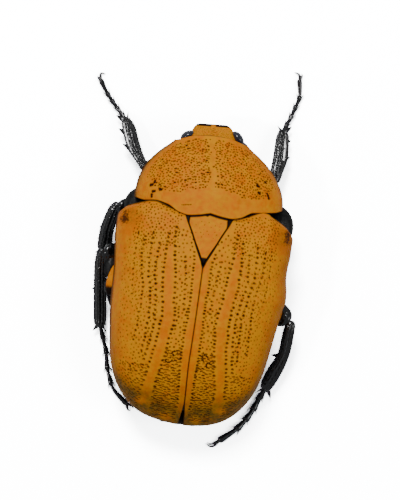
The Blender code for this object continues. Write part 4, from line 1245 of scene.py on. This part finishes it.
def body_hairs(points, faces, rng, count, keep, roots, column):
    """Short hairs over part of the underside, swept back, added to roots."""
    normals = ring_normals(points, faces)
    numbers = np.flatnonzero(keep(*points.T) & (normals[:, 2] < 0.3))
    for k in rng.permutation(numbers)[:count]:
        place = points[k]
        turn = math.atan2(place[0], 5 - place[2]) / (2 * math.pi) + 0.5
        roots.append((place - 0.03 * normals[k], normals[k] + (0, 0.9, -0.1),
                      rng.uniform(0.22, 0.5), (column + turn, (place[1] + 13) / 30)))


def bristle_tree(finish):
    """Tapered, bent bristles on points, aimed by one attribute and as long as another says."""
    tree = bpy.data.node_groups.new("Bristles", "GeometryNodeTree")
    for label, kind in (("Geometry", "Geometry"), ("Thickness", "Float"), ("Bend", "Float"),
                        ("Bend Seed", "Int")):
        tree.interface.new_socket(label, in_out="INPUT", socket_type=f"NodeSocket{kind}")
    tree.interface.new_socket("Geometry", in_out="OUTPUT", socket_type="NodeSocketGeometry")
    given = tree.nodes.new("NodeGroupInput").outputs

    def add(kind, values, out=0, **settings):
        return add_node(tree, kind, values, **settings).outputs[out]

    def read(label, kind):
        return add("GeometryNodeInputNamedAttribute", {"Name": label}, "Attribute", data_type=kind)

    cone = add("GeometryNodeMeshCone", {"Vertices": 4, "Side Segments": 4, "Radius Top": 0.12,
                                        "Radius Bottom": 1, "Depth": 1}, "Mesh")
    height = add("ShaderNodeSeparateXYZ", {0: add("GeometryNodeInputPosition", {})}, "Z")
    square = add("ShaderNodeMath", {0: height, 1: height}, operation="MULTIPLY")
    lean = add("ShaderNodeMath", {0: square, 1: given["Bend"]}, operation="MULTIPLY")
    bent = add("GeometryNodeSetPosition",
               {"Geometry": cone, "Offset": add("ShaderNodeCombineXYZ", {"X": lean})})
    aim = add("FunctionNodeAlignRotationToVector", {"Vector": read("aim", "FLOAT_VECTOR")},
              axis="Z")
    spin = add("FunctionNodeRandomValue", {"Min": (0, 0, 0), "Max": (0, 0, 6.283),
                                           "Seed": given["Bend Seed"]}, data_type="FLOAT_VECTOR")
    turn = add("FunctionNodeRotateRotation", {"Rotation": aim, "Rotate By": spin},
               rotation_space="LOCAL")
    size = add("ShaderNodeCombineXYZ", {"X": given["Thickness"], "Y": given["Thickness"],
                                        "Z": read("reach", "FLOAT")})
    placed = add("GeometryNodeInstanceOnPoints", {"Points": given["Geometry"], "Instance": bent,
                                                  "Rotation": turn, "Scale": size})
    real = add("GeometryNodeRealizeInstances", {0: placed})
    painted = add("GeometryNodeSetMaterial", {"Geometry": real, "Material": finish})
    add_node(tree, "NodeGroupOutput", {0: painted})
    return tree


def bristles(name, roots, tree, thickness, bend):
    """A piece of bristles grown from their roots."""
    places, aims, reaches, skin = (np.array(column) for column in zip(*roots))
    spots = bpy.data.meshes.new("bristle_roots")
    spots.from_pydata(in_metres(places), [], [])
    for label, kind, field, values in (("aim", "FLOAT_VECTOR", "vector", aims),
                                       ("reach", "FLOAT", "value", reaches * MM)):
        layer = spots.attributes.new(label, kind, "POINT")
        layer.data.foreach_set(field, values.astype(np.float32).ravel())
    thing = in_scene(name, spots)
    modifier = thing.modifiers.new("bristles", "NODES")
    modifier.node_group = tree
    sockets = {s.name: s.identifier for s in tree.interface.items_tree if s.in_out == "INPUT"}
    modifier[sockets["Thickness"]] = thickness * MM
    modifier[sockets["Bend"]] = bend
    modifier[sockets["Bend Seed"]] = SEED
    evaluated = thing.evaluated_get(bpy.context.evaluated_depsgraph_get())
    mesh = bpy.data.meshes.new_from_object(evaluated)
    thing.modifiers.clear()
    thing.data = mesh
    each = len(mesh.vertices) // len(roots)
    corners = np.empty(len(mesh.loops), np.int32)
    mesh.loops.foreach_get("vertex_index", corners)
    uv = (skin * (1 / UNWRAP_COLUMNS, 0.99))[corners // each]
    uv += np.stack((corners % 2, (corners % each) / each), -1) * PATCH
    mesh.uv_layers.new(name="OFBake").data.foreach_set("uv", uv.astype(np.float32).ravel())
    mesh.shade_smooth()
    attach(thing, "root")


# Floor, camera and light

def set_camera():
    c, s = math.cos(CAMERA_ROLL), math.sin(CAMERA_ROLL)
    ca, sa = math.cos(CAMERA_TILT), math.sin(CAMERA_TILT)
    right, up = (-c * ca, -s, c * sa), (s * ca, -c, -s * sa)
    back = np.array([sa, 0, ca])
    camera = in_scene("camera", bpy.data.cameras.new("camera"))
    camera.data.sensor_fit = "VERTICAL"
    camera.data.sensor_height = SENSOR
    camera.data.lens = SENSOR * CAMERA_AWAY / FRAME_HEIGHT
    camera.matrix_world = (Matrix.Translation(Vector((LOOK + back * CAMERA_AWAY - ORIGIN) * MM))
                           @ Matrix((right, up, back)).transposed().to_4x4())
    bpy.context.scene.camera = camera


def floor_finish():
    """Matt pale paper, which the camera sees lit as brightly as a studio sweep."""
    finish = bpy.data.materials.new("pale_floor")
    finish.use_nodes = True
    tree = finish.node_tree
    tree.nodes.clear()
    near, shown = (add_node(tree, "ShaderNodeBsdfDiffuse", {"Color": (*colour, 1)}).outputs[0]
                   for colour in (FLOOR_NEAR, FLOOR_SHOWN))
    direct = add_node(tree, "ShaderNodeLightPath", {}).outputs["Is Camera Ray"]
    share = add_node(tree, "ShaderNodeMixShader", {0: direct, 1: near, 2: shown})
    add_node(tree, "ShaderNodeOutputMaterial", {"Surface": share.outputs[0]})
    return finish


def set_stage():
    mesh = bpy.data.meshes.new("floor")
    reach = FLOOR_REACH
    mesh.from_pydata([(-reach, -reach, 0), (reach, -reach, 0), (reach, reach, 0),
                      (-reach, reach, 0)], [], [(0, 1, 2, 3)])
    mesh.materials.append(floor_finish())
    in_scene("floor", mesh)
    world = bpy.data.worlds.new("studio")
    world.use_nodes = True
    background = world.node_tree.nodes["Background"].inputs
    background["Color"].default_value = (*STUDIO_COLOUR, 1)
    background["Strength"].default_value = STUDIO_LIGHT
    bpy.context.scene.world = world
    for name, place, size, power in LIGHTS:
        light = bpy.data.lights.new(name, "AREA")
        light.size, light.energy = size, power
        lamp = in_scene(name, light)
        lamp.location = place
        lamp.rotation_euler = Vector(place).to_track_quat("Z", "Y").to_euler()


def main():
    set_camera()
    set_stage()
    shell = orange_finish()
    black, leg_black, brown, bristle = (black_finish(*look) for look in DARK_FINISHES)
    eye = slate_eye_finish()
    for name, side in LEFT_RIGHT:
        wing_case(name, side, shell)
    scutellum(shell)
    neck_shield(shell)
    roots, short_roots = [], []
    prothorax_under(black, short_roots)
    thorax_under(black, shell, short_roots)
    abdomen_under(black, brown, short_roots)
    head(shell, black)
    for name, side in LEFT_RIGHT:
        eye_and_antenna(name, side, eye, brown)
    for order, (name, plan) in enumerate(LEGS.items()):
        leg(name, plan, order, leg_black, roots)
    roots = [(root, aim, reach, skin) for root, aim, reach, skin in roots
             if (root + reach * unit(aim))[0] > BRISTLE_LIMIT]
    tree = bristle_tree(bristle)
    bristles("leg_bristles", roots, tree, *LEG_BRISTLE)
    bristles("underside_hairs", short_roots, tree, *UNDER_HAIR)


main()
